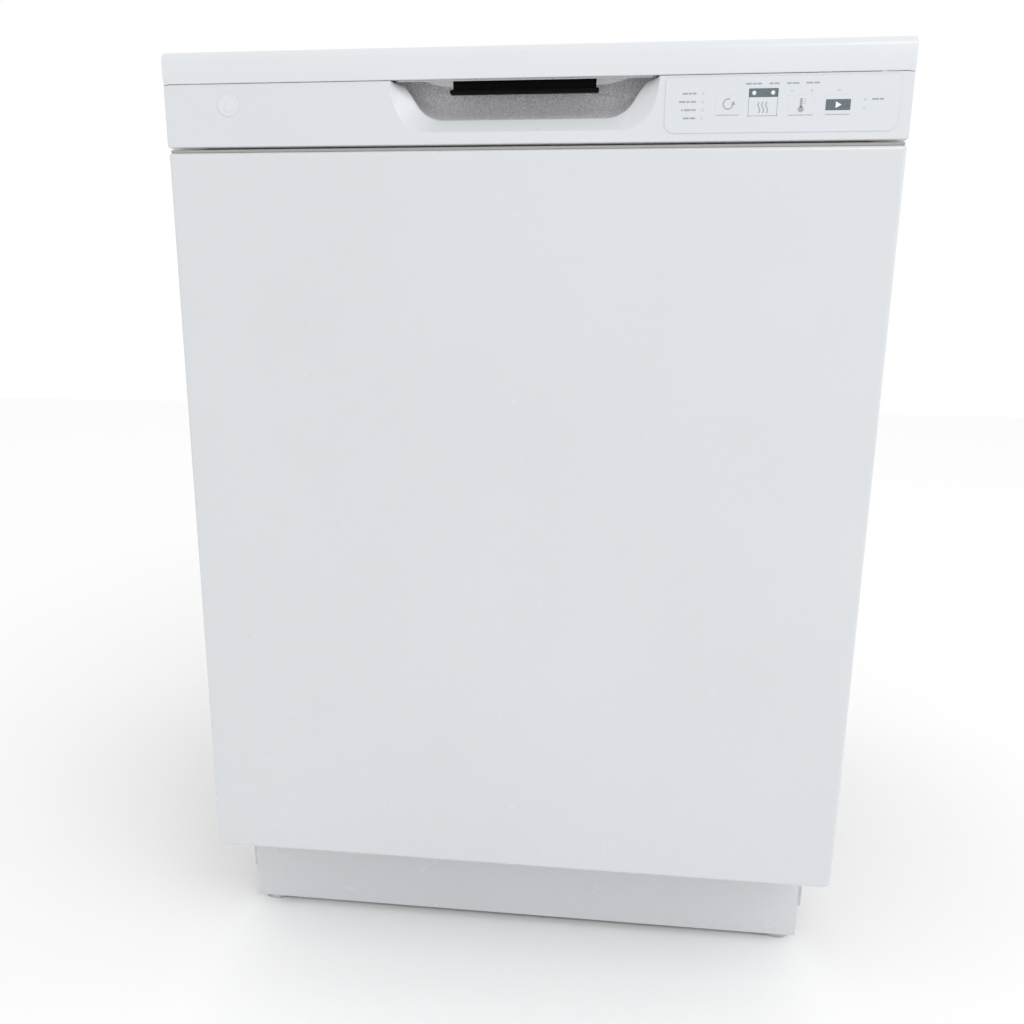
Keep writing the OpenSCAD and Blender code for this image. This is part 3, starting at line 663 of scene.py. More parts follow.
def end_post(side):
    """Console's end, carried up beside the bar with a rounded top corner."""
    y0, y1, z0, z1 = FACE_Y, bar_hi.y, SEAM_Z - 0.0008, bar_hi.z
    step = y0 - bar_lo.y
    # The front steps out to the bar's own front over an S-curve 6 mm high.
    foot = [(y0 - step * (3 * t * t - 2 * t ** 3), SEAM_Z + 0.006 * t)
            for t in (0, 0.25, 0.5, 0.75, 1)]
    outline = [(y0, z0)] + foot + bar_profile()[4:] + [(y1, z0)]

    def ring(x, inset):
        return [Vector((x, y + (inset if y < y0 + BAR_ROLL else 0),
                        z - (inset if z > z1 - BAR_ROLL else 0))) for y, z in outline]

    rings = [ring(side * (HALF_W - POST_W), 0)]
    rings += [ring(side * (HALF_W - POST_EDGE * (1 - math.sin(a))), POST_EDGE * (1 - math.cos(a)))
              for a in quarter(6)]
    post = add_mesh("end_post", *loft(rings, first=True, last=True), MATERIALS["white_plastic"])
    return sharp(outward(post), 40)


def build_console():
    # The console's slightly darker white is painted shade.
    white = MATERIALS["console_plastic_shaded"]
    x0, x1 = console_lo.x, console_hi.x
    z0, top = console_lo.z, SEAM_Z - 0.0004
    outline = console_outline(x0 + CONSOLE_EDGE, x1 - CONSOLE_EDGE, z0 + CONSOLE_EDGE, top)
    face = prism("console_face", outline, FACE_Y, FACE_Y + 0.0024, white, key_windows())
    sides = rounded_sides(x0, x1, z0, top, white)
    # The rim leaves the face over a soft fillet, slopes inwards and ends in a tight roll:
    # share of the way out to the rim's edge, and depth behind the face.
    profile = [(1.0, 0.0), (0.98, 0.00006), (0.95, 0.00025), (0.915, 0.00057), (0.87, 0.00105),
               (0.79, 0.0019), (0.70, 0.0028), (0.60, 0.0038), (0.45, 0.0053), (0.30, 0.0068),
               (0.15, 0.0083), (0.06, 0.0092), (0.02, 0.0097), (0.0, 0.0106), (0.0, 0.0145)]
    rings = [[Vector((x, FACE_Y + y, min(z, top))) for x, z in pocket_curve(share)]
             for share, y in profile]
    rim = outward(add_mesh("console_rim", *loft(rings, closed=False), white))
    # Strip behind the gap over the door skin, under a slot that stays dark; the strip's dark grey
    # is painted shade in the gap.
    tongue = soft_box("tongue", (x0 + 0.0012, FACE_Y + 0.0030, panel_hi.z + 0.0001),
                      (x1 - 0.0012, FACE_Y + 0.0060, z0 - 0.0014), 0.0006,
                      MATERIALS["gap_shade_grey"])
    console = join("console_shell", [face, sides, rim, tongue, end_post(-1), end_post(1)])
    stand_in(console, "door", "control_console")


def pocket_bowl(y_mouth, y_back, lift, material):
    """Scoop from the mouth back to a flat wall, with a soft crease below the wall."""
    clearance, wall, weld = 0.0008, 0.0012, 2e-5
    taper, floor_taper = 0.97, 0.06    # how much narrower the back wall is
    outer = pocket_curve(0, lift, clearance)
    floor_z = SEAM_Z - POCKET_H
    crease = floor_z + 0.019
    rings = []
    for a in quarter(12):
        ring = []
        for x, z in outer:
            rise = max(0.0, 1 - (z - floor_z) / (SEAM_Z + lift - floor_z))
            back_x, back_z = x * (taper - floor_taper * rise), max(z, crease)
            ring.append(Vector((x + (back_x - x) * (1 - math.cos(a)),
                                y_mouth + (y_back - y_mouth) * math.sin(a),
                                z + (back_z - z) * (1 - math.cos(a)))))
        rings.append(ring)
    verts, faces = loft(rings, closed=False, last=True)
    count = len(outer)
    for k in range(len(rings) - 1):
        a, b = k * count, (k + 1) * count
        faces.append((a, b, b + count - 1, a + count - 1))
    bowl = add_mesh("pocket_bowl", verts, faces, material)
    bm = bmesh.new()
    bm.from_mesh(bowl.data)
    bmesh.ops.remove_doubles(bm, verts=bm.verts, dist=weld)
    bmesh.ops.dissolve_degenerate(bm, edges=bm.edges, dist=weld)
    bmesh.ops.recalc_face_normals(bm, faces=bm.faces)
    for f in bm.faces:
        f.normal_flip()
    bm.to_mesh(bowl.data)
    bm.free()
    return thicken(sharp(bowl, 50), wall, -1)


def pocket_ceiling(y_back, lift, material):
    """Band that comes down to the back wall, rounded at both ends, in a lighter copy of the
    pocket's grey: painted light.
    """
    half, flat = 0.090, 0.062          # half widths of the band and of its straight part
    foot, bend_rise, lean = 0.0018, 0.0062, 0.006
    rows = []
    for share in (0, 0.15, 0.5, 1):
        row = []
        for i in range(33):
            x = half * (i / 16 - 1)
            bend = max(0.0, (abs(x) - flat) / (half - flat)) ** 1.6
            z = SEAM_Z + foot + bend_rise * bend
            row.append(Vector((x, y_back - 0.0006 - share * lean,
                               z + share * (SEAM_Z + lift - 0.001 - z))))
        rows.append(row)
    return thicken(add_mesh("pocket_ceiling", *loft(rows, closed=False), material), 0.0006, 0)


def build_pocket():
    """Grey liner of the pocket, with the thin lip over its mouth and the paddle's bearings."""
    grey = MATERIALS["pocket_plastic"]
    high = lo_hi("handle_pocket")[1]
    lift = high.z - SEAM_Z - 0.002
    y_back = high.y - 0.0015
    bowl = pocket_bowl(FACE_Y + 0.0095, y_back, lift, grey)
    # The band's lighter grey is painted light on the pocket's upper back.
    band = pocket_ceiling(y_back, lift, MATERIALS["pocket_painted_light"])
    valance = soft_box("valance", (-0.1035, FACE_Y + 0.0062, SEAM_Z + 0.0003),
                       (0.1035, FACE_Y + 0.0074, SEAM_Z + 0.005), 0.0004, grey, 2)
    paddle_lo, paddle_hi = lo_hi("latch_paddle")
    ears = [soft_box("ear", (x, paddle_lo.y, paddle_hi.z - 0.0055),
                     (x + 0.0025, y_back, paddle_hi.z + 0.003), 0.0006, grey)
            for x in (-0.064, 0.0615)]
    stand_in(join("pocket_liner", [bowl, band, valance, *ears]), "door", "handle_pocket")


def build_paddle():
    black = MATERIALS["black_plastic"]
    low, high = lo_hi("latch_paddle")
    half, lip = 0.0585, 0.0607
    plate = soft_box("plate", (-half, low.y + 0.0035, low.z + 0.001),
                     (half, low.y + 0.0065, high.z - 0.002), 0.0009, black)
    bar = soft_box("lip", (-lip, low.y, low.z), (lip, low.y + 0.007, low.z + 0.0032), 0.0012,
                   black)
    roll_z, roll_y = high.z - 0.003, low.y + 0.005
    rolls = [wires(name, [[(-end, roll_y, roll_z), (end, roll_y, roll_z)]], r, black, sides)
             for name, end, r, sides in (("roll", half + 0.003, 0.0029, 20),
                                         ("pins", high.x, 0.0024, 16))]
    ribs = [soft_box("rib", (x - 0.0008, low.y + 0.006, low.z + 0.002),
                     (x + 0.0008, low.y + 0.0078, high.z - 0.006), 0.0003, black, 2)
            for x in [i * 0.019 - 0.0475 for i in range(6)]]
    stand_in(join("paddle", [plate, bar, *rolls, *ribs]), "latch_paddle_body", "latch_paddle")


def build_top_bar():
    """Bar over the console: a hollow moulding with a rolled front, between the end posts."""
    half = HALF_W - POST_W
    loops = [[Vector((x, y, z)) for y, z in bar_profile(0.0025)] for x in (-half, half)]
    bar = add_mesh("top_bar_shell", *loft(loops, first=True, last=True),
                   MATERIALS["white_plastic"])
    stand_in(sharp(outward(bar), 40), "door", "console_top_bar")


# ---- control panel prints

FILM_Y = FACE_Y - 0.0004
KEY_Y = FACE_Y - 0.00042
INK_LIFT = 0.00004                     # how far print stands in front of its ground
FILM_INK, KEY_INK = FILM_Y - INK_LIFT, KEY_Y - INK_LIFT
film_lo, film_hi = lo_hi("control_overlay")


def print_flat(name, shapes, y, material, body):
    """Printed marks: thin flat shapes on the film."""
    flat = [([(x, y, z) for x, z in outline], [range(len(outline))]) for outline in shapes]
    trim(add_mesh(name, *merged(flat), material, smooth=False), body)


def bar_shape(x0, x1, z0, z1, r=None):
    r = min(x1 - x0, z1 - z0) * 0.45 if r is None else r
    return round_rect(x0, x1, z0, z1, [r] * 4, 3)


def arc_band(x, z, r, width, start, end):
    """Part of a ring, from one angle to another."""
    angles = [math.radians(start + (end - start) * i / 24) for i in range(25)]
    outer = [(x + r * math.cos(a), z + r * math.sin(a)) for a in angles]
    k = (r - width) / r
    return outer + [(x + (px - x) * k, z + (pz - z) * k) for px, pz in reversed(outer)]


def dash_marks(x, z, widths, height, gap):
    """A short row of small bars standing in for a printed legend."""
    total = sum(widths) + gap * (len(widths) - 1)
    left = x - total / 2
    out = []
    for w in widths:
        out.append(bar_shape(left, left + w, z - height / 2, z + height / 2, height * 0.35))
        left += w + gap
    return out


def at(x, z_over_door):
    """A place on the console, from millimetres beside its middle and over the door's foot."""
    return x * MM, DOOR_Z + z_over_door * MM


def film_outline(inset):
    radii = [r - inset for r in (0.008, 0.008, 0.0025, 0.0025)]
    return round_rect(film_lo.x + inset, film_hi.x - inset, film_lo.z + inset,
                      film_hi.z - inset, radii, 8)


def build_overlay():
    plate = prism("film", film_outline(0), FILM_Y, FACE_Y + 0.0002, MATERIALS["overlay_film"],
                  key_windows())
    # A thin grey ring round the film stands in for the shade line at its edge: painted shade.
    line = 0.00028
    rings = [[Vector((x, FILM_Y - INK_LIFT / 2, z)) for x, z in film_outline(inset)]
             for inset in (0, line)]
    edge = add_mesh("film_edge", *loft(rings), PAINTED_EDGE_SHADE, smooth=False)
    stand_in(join("film_with_edge", [plate, edge]), "door", "control_overlay")


def build_keys():
    """Domed key faces, flush with the film, each riding on its own key."""
    stem_half = 0.003
    for name, (low, high) in KEYS.items():
        material = MATERIALS[SLOT_OF[name + "_button"]]
        rows = ((0, low.y + 0.0045), (0, KEY_Y + 0.00004), (0.00004, KEY_Y), (0.0005, KEY_Y),
                (0.002, KEY_Y))
        rings = [[Vector((x, y, z)) for x, z in key_outline(low, high, -inset, 4)]
                 for inset, y in rows]
        cap = outward(add_mesh(name + "_face", *loft(rings, last=True), material))
        collar = soft_box(name + "_collar", (low.x, low.y + 0.0035, low.z),
                          (high.x, low.y + 0.0055, high.z), 0.0005, material, 2)
        x, z = (low.x + high.x) / 2, (low.z + high.z) / 2
        stem = soft_box(name + "_stem", (x - stem_half, low.y + 0.005, z - stem_half),
                        (x + stem_half, high.y, z + stem_half), 0.0005, material, 2)
        stand_in(join(name + "_key", [sharp(cap, 40), collar, stem]),
                 name + "_button_body", name + "_button")


def heat_waves(x, z, size):
    """Three upright wavy lines."""
    half = size * 0.09
    shapes = []
    for k in (-1, 0, 1):
        line = [(x + k * size * 0.62 + math.sin(t * 2 * math.pi) * size * 0.16,
                 z + (t - 0.5) * size * 1.7) for t in [i / 12 for i in range(13)]]
        shapes.append([(px - half, pz) for px, pz in line]
                      + [(px + half, pz) for px, pz in reversed(line)])
    return shapes


def star(x, z):
    """Eight-pointed star."""
    tips = [(math.pi * i / 8, 0.0011 if i % 2 else 0.0020) for i in range(16)]
    return [(x + r * math.cos(a), z + r * math.sin(a)) for a, r in tips]


def underline(x, z, half, drop):
    return bar_shape(x - half, x + half, z - drop, z - drop + 0.0005)


def print_cycle():
    """An open circular arrow over an underline."""
    x, z = at(162, 689)
    head = [(x + 0.0022, z - 0.0006), (x + 0.0058, z - 0.0006), (x + 0.0040, z + 0.0022)]
    print_flat("cycle_print", [arc_band(x, z, 0.0042, 0.0009, 70, 350), head,
                               underline(x, z, 0.0086, 0.0083)],
               KEY_INK, PRINT_GREY, "cycle_button_body")


def print_dry():
    """An outlined box with heat waves, and a dark header with two star-cut windows."""
    x0, z0 = at(177.6, 679.9)
    x1, z1 = at(199.9, 700.0)
    x = (x0 + x1) / 2
    line = 0.0004
    box = [bar_shape(x0, x1, z0, z0 + line, 0.0001), bar_shape(x0, x0 + line, z0, z1, 0.0001),
           bar_shape(x1 - line, x1, z0, z1, 0.0001)]
    for name, shapes, y, material in (
            ("dry_print", box + heat_waves(x, z0 + 0.0062, 0.0048), KEY_INK, PRINT_GREY),
            ("dry_header", [bar_shape(x0, x1, z1 - 0.0064, z1, 0.0006)], KEY_INK, PRINT_BADGE),
            ("dry_stars", [star(x - 0.0072, z1 - 0.0032), star(x + 0.0072, z1 - 0.0032)],
             KEY_INK - 0.00003, PRINT_WHITE)):
        print_flat(name, shapes, y, material, "dry_button_body")


def print_temp():
    """A thermometer over an underline."""
    x, z = at(217.8, 687.4)
    scale = [bar_shape(x + 0.0019, x + 0.0036, z + 0.0010 + 0.0016 * k, z + 0.0014 + 0.0016 * k)
             for k in range(3)]
    print_flat("temp_print", [bar_shape(x - 0.0010, x + 0.0010, z - 0.0016, z + 0.0052),
                              disc(x, z - 0.0030, 0.0022), *scale,
                              underline(x, z, 0.0092, 0.0074)],
               KEY_INK, PRINT_GREY, "temp_button_body")


def print_start():
    """A dark badge with a light triangle, and an underline."""
    x, z = at(245.8, 687.3)
    badge = bar_shape(x - 0.0094, x + 0.0094, z - 0.0040, z + 0.0040, 0.0007)
    triangle = [(x - 0.0018, z - 0.0024), (x + 0.0026, z), (x - 0.0018, z + 0.0024)]
    for name, shape, y, material in (
            ("start_badge", badge, KEY_INK, PRINT_BADGE),
            ("start_mark", triangle, KEY_INK - 0.00003, PRINT_WHITE),
            ("start_line", underline(x, z, 0.0090, 0.0072), KEY_INK, PRINT_GREY)):
        print_flat(name, [shape], y, material, "start_button_body")


def print_legends():
    """Rows of short grey bars beside and over the lights."""
    gap = 0.0006
    marks = []
    for z_over_door, widths in ((697, (0.0042, 0.0022, 0.0032)), (691, (0.0052, 0.0028, 0.0042)),
                                (685, (0.0014, 0.0056, 0.0032)), (679, (0.0046, 0.0044))):
        right, z = at(137.2, z_over_door)
        total = sum(widths) + gap * (len(widths) - 1)
        marks += dash_marks(right - total / 2, z, widths, 0.0013, gap)
    for x, widths in ((180.9, (0.0046, 0.0030, 0.0036)), (196.6, (0.0030, 0.0040)),
                      (210.6, (0.0036, 0.0052)), (225.8, (0.0052, 0.0046))):
        marks += dash_marks(*at(x, 703.4), widths, 0.0012, gap)
    marks += dash_marks(*at(275.4, 691), (0.0050, 0.0034), 0.0013, gap)
    print_flat("legend_print", marks, FILM_INK, PRINT_GREY, "door")


def turned(name, outlines, material):
    """A relief from outlines at their depths, closed over the last one."""
    bm = bmesh.new()
    rows = [[bm.verts.new((x, y, z)) for x, z in outline] for outline, y in outlines]
    skin(bm, rows)
    bm.faces.new(rows[-1])
    return finish_bmesh(bm, name, material)


def build_lenses():
    """Small clear domes of the indicator lights over their light pipes."""
    back = lo_hi("indicator_lenses")[1].y
    dome = ((0.00108, back), (0.00108, FILM_Y - 0.0001), (0.00095, FILM_Y - 0.00018),
            (0.0005, FILM_Y - 0.00025))
    spots = [(142.5, 697), (142.5, 691), (142.5, 685), (142.5, 679), (210.5, 698), (225.6, 698),
             (246, 698), (266, 691), (266, 685)]
    bm = bmesh.new()
    for spot in spots:
        rows = [[bm.verts.new((x, y, z)) for x, z in disc(*at(*spot), r, 20)] for r, y in dome]
        skin(bm, rows)
        bm.faces.new(rows[-1])
    stand_in(finish_bmesh(bm, "lens_domes", MATERIALS["lens_plastic"]), "door",
             "indicator_lenses")


def build_badge():
    """Round embossed badge with a plain water drop, in the same white as the console."""
    low, high = lo_hi("droplet_badge")
    x, z = (low.x + high.x) / 2, (low.z + high.z) / 2
    r = (high.x - low.x) / 2
    front, field = low.y, FACE_Y - 0.0002
    white = MATERIALS["white_plastic"]

    def drop(size):
        angles = [2 * math.pi * i / 40 for i in range(40)]
        return [(x + size * 0.62 * math.sin(t) * math.sin(t / 2),
                 z + size * math.cos(t) * 0.78 - size * 0.02) for t in angles]

    rim = [(r, FACE_Y), (r - 0.0001, FACE_Y - 0.0003), (r - 0.0004, front), (r - 0.0013, front),
           (r - 0.0017, field), (0.0001, field)]
    ring = turned("badge_ring", [(disc(x, z, radius, 64), y) for radius, y in rim], white)
    relief = [(0.80, FACE_Y - 0.0001), (0.77, front + 0.0001), (0.72, front), (0.5, front)]
    mark = turned("badge_drop", [(drop(r * share), y) for share, y in relief], white)
    stand_in(join("badge_relief", [sharp(ring, 30), sharp(mark, 30)]), "door", "droplet_badge")


# ---- racks

WIRE, RIM_WIRE = 0.0022, 0.0027


def evenly(start, end, count):
    return [start + (end - start) * i / count for i in range(count + 1)]


def loop_path(half, y0, y1, z):
    """Rounded rectangle of wire, starting and ending in the middle of its back run."""
    points = [(0, y1), (half, y1), (half, y0), (-half, y0), (-half, y1)]
    return fillet_path([*[(x * MM, y * MM, z * MM) for x, y in points],
                        (-0.0001, y1 * MM, z * MM)], 0.028, 8)


def rib(points, radius=0.016):
    """Bent wire through points in millimetres."""
    return fillet_path([tuple(c * MM for c in p) for p in points], radius, 5)


def cross_ribs(half, base, places, z, knee, rim_z):
    """Wires that run from one side's rim under the floor to the other's."""
    side = half - 3
    return [rib([(-side, y, rim_z), (-side, y, knee), (-base, y, z + 4.4), (base, y, z + 4.4),
                 (side, y, knee), (side, y, rim_z)]) for y in places]


def clips(side, x0, x1, starts, length, z0, z1, radius, material):
    """A row of small blocks along a rack's side."""
    low, high = sorted((side * x0, side * x1))
    return [soft_box("clip", (low, y * MM, z0), (high, (y + length) * MM, z1), radius, material, 2)
            for y in starts]


def build_lower_rack():
    """Bent wire, rows of tines on rails, and the wheels' brackets and axles."""
    coat = MATERIALS["rack_coating"]
    z, knee, rim_z = 172, 230, 300
    half, base, y0, floor_y, y1 = 262, 234, -243, -190, 262
    rail = z + 7
    paths = [(loop_path(half, y0, y1, rim_z), RIM_WIRE), loop_path(half, y0, y1, knee)]
    paths += cross_ribs(half, base, evenly(floor_y, y1 - 8, 6), z, knee, rim_z)
    paths += [rib([(x, y0 + 3, rim_z), (x, y0 + 3, knee), (x, floor_y + 1, z), (x, y1 - 5, z),
                   (x, y1 - 3, rim_z)]) for x in evenly(7 - base, base - 7, 8)]
    for y in (-118, -18, 82, 182):
        paths.append([(-0.228, y * MM, rail * MM), (0.104, y * MM, rail * MM)])
        paths += [rib([(x, y, rail), (x, y + 3, z + 22), (x, y + 8, z + 62)], 0.02)
                  for x in range(-208, 99, 34)]
    parts = [wires("wires", paths, WIRE, coat)]
    axle_end, axle_z = 0.2518, 0.1543
    for side in (-1, 1):
        near, far = sorted((side * 0.2365, side * 0.241))
        for y in (-93, 207):
            parts.append(soft_box("wheel_bracket", (near, (y - 9) * MM, 0.1483),
                                  (far, (y + 9) * MM, 0.174), 0.0025, coat))
            for start, r, sides in ((0.2375, 0.003, 16), (0.2505, 0.0052, 20)):
                axle = [(side * x, y * MM, axle_z) for x in (start, axle_end)]
                parts.append(wires("axle", [axle], r, coat, sides))
    stand_in(join("lower_basket_wires", parts), "lower_rack_body", "lower_rack")


def slide_rail(side, material):
    """A C of folded strip with its lips turned round the rollers' track."""
    profile = [(0.250, 0.535), (0.268, 0.535), (0.268, 0.5395), (0.2612, 0.5395),
               (0.2612, 0.5645), (0.268, 0.5645), (0.268, 0.569), (0.250, 0.569)]
    bm = bmesh.new()
    rows = [[bm.verts.new((side * x, y, z)) for x, z in profile] for y in (-0.232, 0.256)]
    skin(bm, rows)
    for row in rows:
        bm.faces.new(row)
    bmesh.ops.bevel(bm, geom=bm.edges[:], offset=0.0006, segments=2, profile=0.5,
                    affect="EDGES")
    return sharp(finish_bmesh(bm, "rail", material), 40)


def build_upper_rack():
    """Bent wire with rows of tines, hung from two slide rails."""
    coat = MATERIALS["rack_coating"]
    z, rim_z = 484, 606
    mid, rail = (z + rim_z) / 2, z + 7
    half, y0, y1 = 240, -230, 258
    paths = [(loop_path(half, y0, y1, rim_z), RIM_WIRE), loop_path(half, y0, y1, mid)]
    paths += cross_ribs(half, half - 13, evenly(y0 + 8, y1 - 8, 6), z, mid, rim_z)
    paths += [rib([(x, y0 + 3, rim_z), (x, y0 + 8, z), (x, y1 - 4, z), (x, y1 - 3, rim_z)])
              for x in evenly(18 - half, half - 18, 8)]
    for x in (-171, -57, 57, 171):
        paths.append([(x * MM, -0.186, rail * MM), (x * MM, 0.198, rail * MM)])
        paths += [rib([(x, y, rail), (x + 2, y, z + 20), (x + 6, y, z + 48)], 0.015)
                  for y in range(-180, 193, 62)]
    parts = [wires("wires", paths, WIRE, coat)]
    for side in (-1, 1):
        parts += clips(side, 0.228, 0.241, (-140, 134), 6, 0.603, 0.6082, 0.001, coat)
        parts.append(slide_rail(side, coat))
        parts += clips(side, 0.2425, 0.251, (-170, 20, 200), 16, 0.542, 0.562, 0.002, coat)
    stand_in(join("upper_basket_wires", parts), "upper_rack_body", "upper_rack")


def build_shelf(side, name):
    """Folding cup shelf: a bent frame on a straight hinge wire, with cross wires."""
    low, high = lo_hi("cup_shelf_" + name)
    z = (low.z + high.z) / 2
    hinge, edge = side * 0.232, side * 0.136
    y0, y1 = -0.150, 0.150
    paths = [[(hinge, y0 - 0.0015, z), (hinge, y1 + 0.0015, z)],
             fillet_path([(hinge, y0, z), (edge, y0, z), (edge, y1, z), (hinge, y1, z)],
                         0.018, 6)]
    paths += [[(hinge, y, z), (edge, y, z)] for y in evenly(y0 + 0.002, y1 - 0.002, 6)[1:-1]]
    stand_in(wires("shelf_wires_" + name, paths, WIRE, MATERIALS["rack_coating"], 10),
             f"cup_shelf_{name}_body", "cup_shelf_" + name)


def build_basket():
    """Silverware basket: barred walls, bands round them and cell dividers."""
    grey = MATERIALS[SLOT_OF["silverware_basket"]]
    low, high = lo_hi("silverware_basket")
    wall = 0.002
    parts = []

    def slab(x0, x1, y0, y1, z0, z1, radius=0.0006, segments=2):
        parts.append(soft_box("slab", (x0, y0, z0), (x1, y1, z1), radius, grey, segments))

    slab(low.x, high.x, low.y, high.y, low.z, low.z + wall)
    for z0, z1 in ((low.z, low.z + 0.016), (low.z + 0.055, low.z + 0.061),
                   (high.z - 0.014, high.z)):
        for y in (low.y, high.y - wall):
            slab(low.x, high.x, y, y + wall, z0, z1)
        for x in (low.x, high.x - wall):
            slab(x, x + wall, low.y, high.y, z0, z1)
    mid = (low.x + high.x) / 2
    slab(mid - wall / 2, mid + wall / 2, low.y + wall, high.y - wall, low.z, high.z - 0.002)
    for y in evenly(low.y, high.y, 4)[1:-1]:
        slab(low.x + wall, high.x - wall, y - wall / 2, y + wall / 2, low.z, high.z - 0.006)
    bar, foot, head = 0.0011, low.z + 0.008, high.z - 0.006
    for y in evenly(low.y + 0.003, high.y - 0.003, 33):
        for x in (low.x, high.x - wall):
            slab(x, x + wall, y - bar, y + bar, foot, head, 0.0004, 1)
    for x in evenly(low.x + 0.004, high.x - 0.004, 12):
        for y in (low.y, high.y - wall):
            slab(x - bar, x + bar, y, y + wall, foot, head, 0.0004, 1)
    stand_in(join("basket_grille", parts), "lower_rack_body", "silverware_basket")


# ---- blanket, springs, hose

def build_blanket():
    """Quilted felt jacket over the tub's sides and top."""
    low, high = lo_hi("insulation_blanket")
    tub_half, tub_top, gap = 0.2814, 0.8364, 0.0008
    quilt = 0.095                      # between two stitch lines
    around, along = ((360, 110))
    y0, y1 = low.y + 0.003, high.y - 0.003

    def outline(x, z):
        """Path over the jacket from the left hem to the right hem."""
        hem = low.z + 0.002
        return fillet_path([(-x, 0, hem), (-x, 0, z), (x, 0, z), (x, 0, hem)], 0.012, 8)

    def pillow(place):
        """1 between two stitch lines, 0 on them."""
        return 1 - (abs((place / quilt) % 1 - 0.5) * 2) ** 6

    def puff(s, y):
        """The quilting, with creases and lumps."""
        lump = noise.noise(Vector((s * 22, y * 22, 1.7))) * 0.35
        crease = abs(noise.noise(Vector((s * 9, y * 30, 4.2)))) * 0.3
        return max(0.0, min(1.0, pillow(s) * pillow(y - y0) * (0.85 + lump - crease)))

    shares = evenly(0, 1, around)
    outer_line, inner_line = (outline(high.x - 0.0015, high.z - 0.0015),
                              outline(tub_half + gap, tub_top + gap))
    length = path_lengths(outer_line)[-1]
    lines = list(zip(spread(outer_line, shares), spread(inner_line, shares), shares))
    bm = bmesh.new()
    outer_rows, inner_rows = [], []
    for j, y in enumerate(evenly(y0, y1, along)):
        hem = min(1, min(j, along - j) / 3)
        outer, inside = [], []
        for p, q, share in lines:
            p, q, s = Vector(p), Vector(q), share * length
            t = 0.30 + 0.70 * puff(s, y) if hem == 1 else 0.25 + 0.1 * hem
            point = q.lerp(p, t)
            waver = 0.0012 * noise.noise(Vector((s * 60, j, 2)))
            outer.append(bm.verts.new((point.x, y + waver, point.z)))
            inside.append(bm.verts.new((q.x, y, q.z)))
        outer_rows.append(outer)
        inner_rows.append(inside)
    skin(bm, outer_rows, closed=False)
    skin(bm, inner_rows, closed=False)
    for end in (0, -1):
        skin(bm, [outer_rows[end], inner_rows[end]], closed=False)
    for end in (0, -1):
        skin(bm, [[row[end] for row in outer_rows], [row[end] for row in inner_rows]],
             closed=False)
    jacket = finish_bmesh(bm, "felt_jacket", MATERIALS["blanket_felt"])
    stand_in(jacket, "chassis", "insulation_blanket")


def build_springs():
    """Close-wound door springs: fixed coils between the link and the post, with a hook at each
    end.
    """
    y_link, y_post, z = -0.208, -0.072, 0.149
    start, end = y_link + 0.016, y_post - 0.014
    turns, r, wire = 38, 0.0040, 0.0009
    bend, reach = 0.0036, 0.0052       # a hook's radius, and its middle beyond the pin
    hook = [math.pi * 1.5 * i / 14 for i in range(15)]
    steps = turns * 16
    for side, name in ((-1, "left"), (1, "right")):
        x = side * 0.2916
        path = [(x, y_link + reach - bend * math.sin(a), z - bend * math.cos(a)) for a in hook]
        for i in range(steps + 1):
            t = i / steps
            a = 2 * math.pi * turns * t
            path.append((x + r * math.cos(a), start + (end - start) * t, z + r * math.sin(a)))
        path += [(x, y_post - reach + bend * math.sin(a), z + bend * math.cos(a)) for a in hook]
        coil = wires("spring_coil_" + name, [path], wire, MATERIALS["spring_steel"])
        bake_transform(coil)
        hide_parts("door_springs")


def build_hose():
    """Rubber inlet hose with a swept bend, and the steel clamp at its start."""
    low, high = lo_hi("inlet_hose")
    x0, y_turn, z = low.x + 0.008, high.y - 0.008, (low.z + high.z) / 2
    path = fillet_path([(x0, low.y, z), (x0, y_turn, z), (high.x, y_turn, z)], 0.024, 16)
    run = wires("run", [path], 0.0078, MATERIALS["black_rubber"], 28)
    clamp = wires("clamp", [[(x0, low.y + 0.006, z), (x0, low.y + 0.014, z)]], 0.00798,
                  MATERIALS["galvanised_steel"], 28)
    stand_in(join("hose_run", [run, clamp]), "chassis", "inlet_hose")


# ---- stage and camera

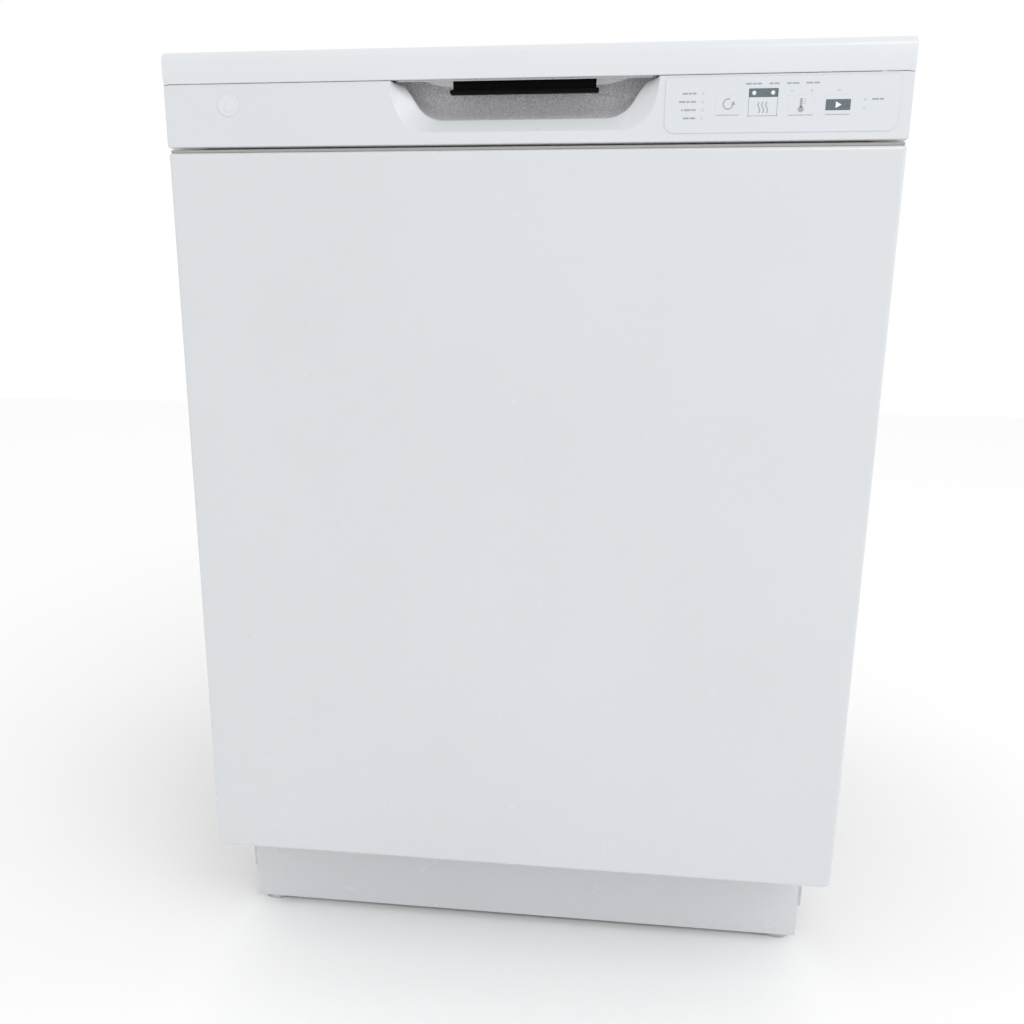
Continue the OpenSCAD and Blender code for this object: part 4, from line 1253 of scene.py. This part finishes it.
def build_camera():
    azimuth, elevation, roll = math.radians(5.68), math.radians(12.26), math.radians(0.60)
    back = Vector((math.sin(azimuth) * math.cos(elevation),
                   -math.cos(azimuth) * math.cos(elevation), math.sin(elevation)))
    right = Vector((0, 0, 1)).cross(back).normalized()
    up = back.cross(right)
    x_axis = right * math.cos(roll) + up * math.sin(roll)
    y_axis = up * math.cos(roll) - right * math.sin(roll)
    matrix = Matrix((x_axis, y_axis, back)).transposed().to_4x4()
    matrix.translation = Vector((0.066, -1.026, 0.624))
    camera = bpy.data.objects.new("camera", bpy.data.cameras.new("camera"))
    camera.data.lens = 29.05
    camera.data.sensor_width = 36
    camera.matrix_world = matrix
    bpy.context.scene.collection.objects.link(camera)
    bpy.context.scene.camera = camera


def area_light(name, location, target, size, size_y, energy):
    data = bpy.data.lights.new(name, "AREA")
    data.shape = "RECTANGLE"
    data.size, data.size_y = size, size_y
    data.energy = energy
    light = bpy.data.objects.new(name, data)
    light.location = location
    direction = Vector(target) - Vector(location)
    light.rotation_euler = direction.to_track_quat("-Z", "Y").to_euler()
    bpy.context.scene.collection.objects.link(light)


def build_stage():
    """White room, white floor and two soft lights."""
    world = bpy.data.worlds.new("studio")
    bpy.context.scene.world = world
    world.use_nodes = True
    background = world.node_tree.nodes["Background"]
    background.inputs["Color"].default_value = (1, 1, 1, 1)
    background.inputs["Strength"].default_value = 1.0
    bpy.context.scene.view_settings.view_transform = "Standard"
    matt = Shader("studio_floor", Base_Color=(0.97, 0.97, 0.97, 1), Roughness=1.0,
                  Specular_IOR_Level=0.0)
    floor = add_mesh("studio_floor", [(-6, -6, 0), (6, -6, 0), (6, 6, 0), (-6, 6, 0)],
                     [(0, 1, 2, 3)], matt.mat, smooth=False)
    area_light("key", (1.2, -1.8, 2.3), (0.2, -0.2, 0.7), 1.2, 0.8, 12)
    area_light("fill", (1.9, -1.2, 1.6), (0, -0.2, 0.6), 0.8, 1.6, 3)


build_door_panel()
build_console()
build_pocket()
build_paddle()
build_top_bar()
build_overlay()
build_keys()
print_cycle()
print_dry()
print_temp()
print_start()
print_legends()
build_lenses()
build_badge()
build_lower_rack()
build_upper_rack()
build_shelf(-1, "left")
build_shelf(1, "right")
build_basket()
build_blanket()
build_springs()
build_hose()
build_camera()
build_stage()
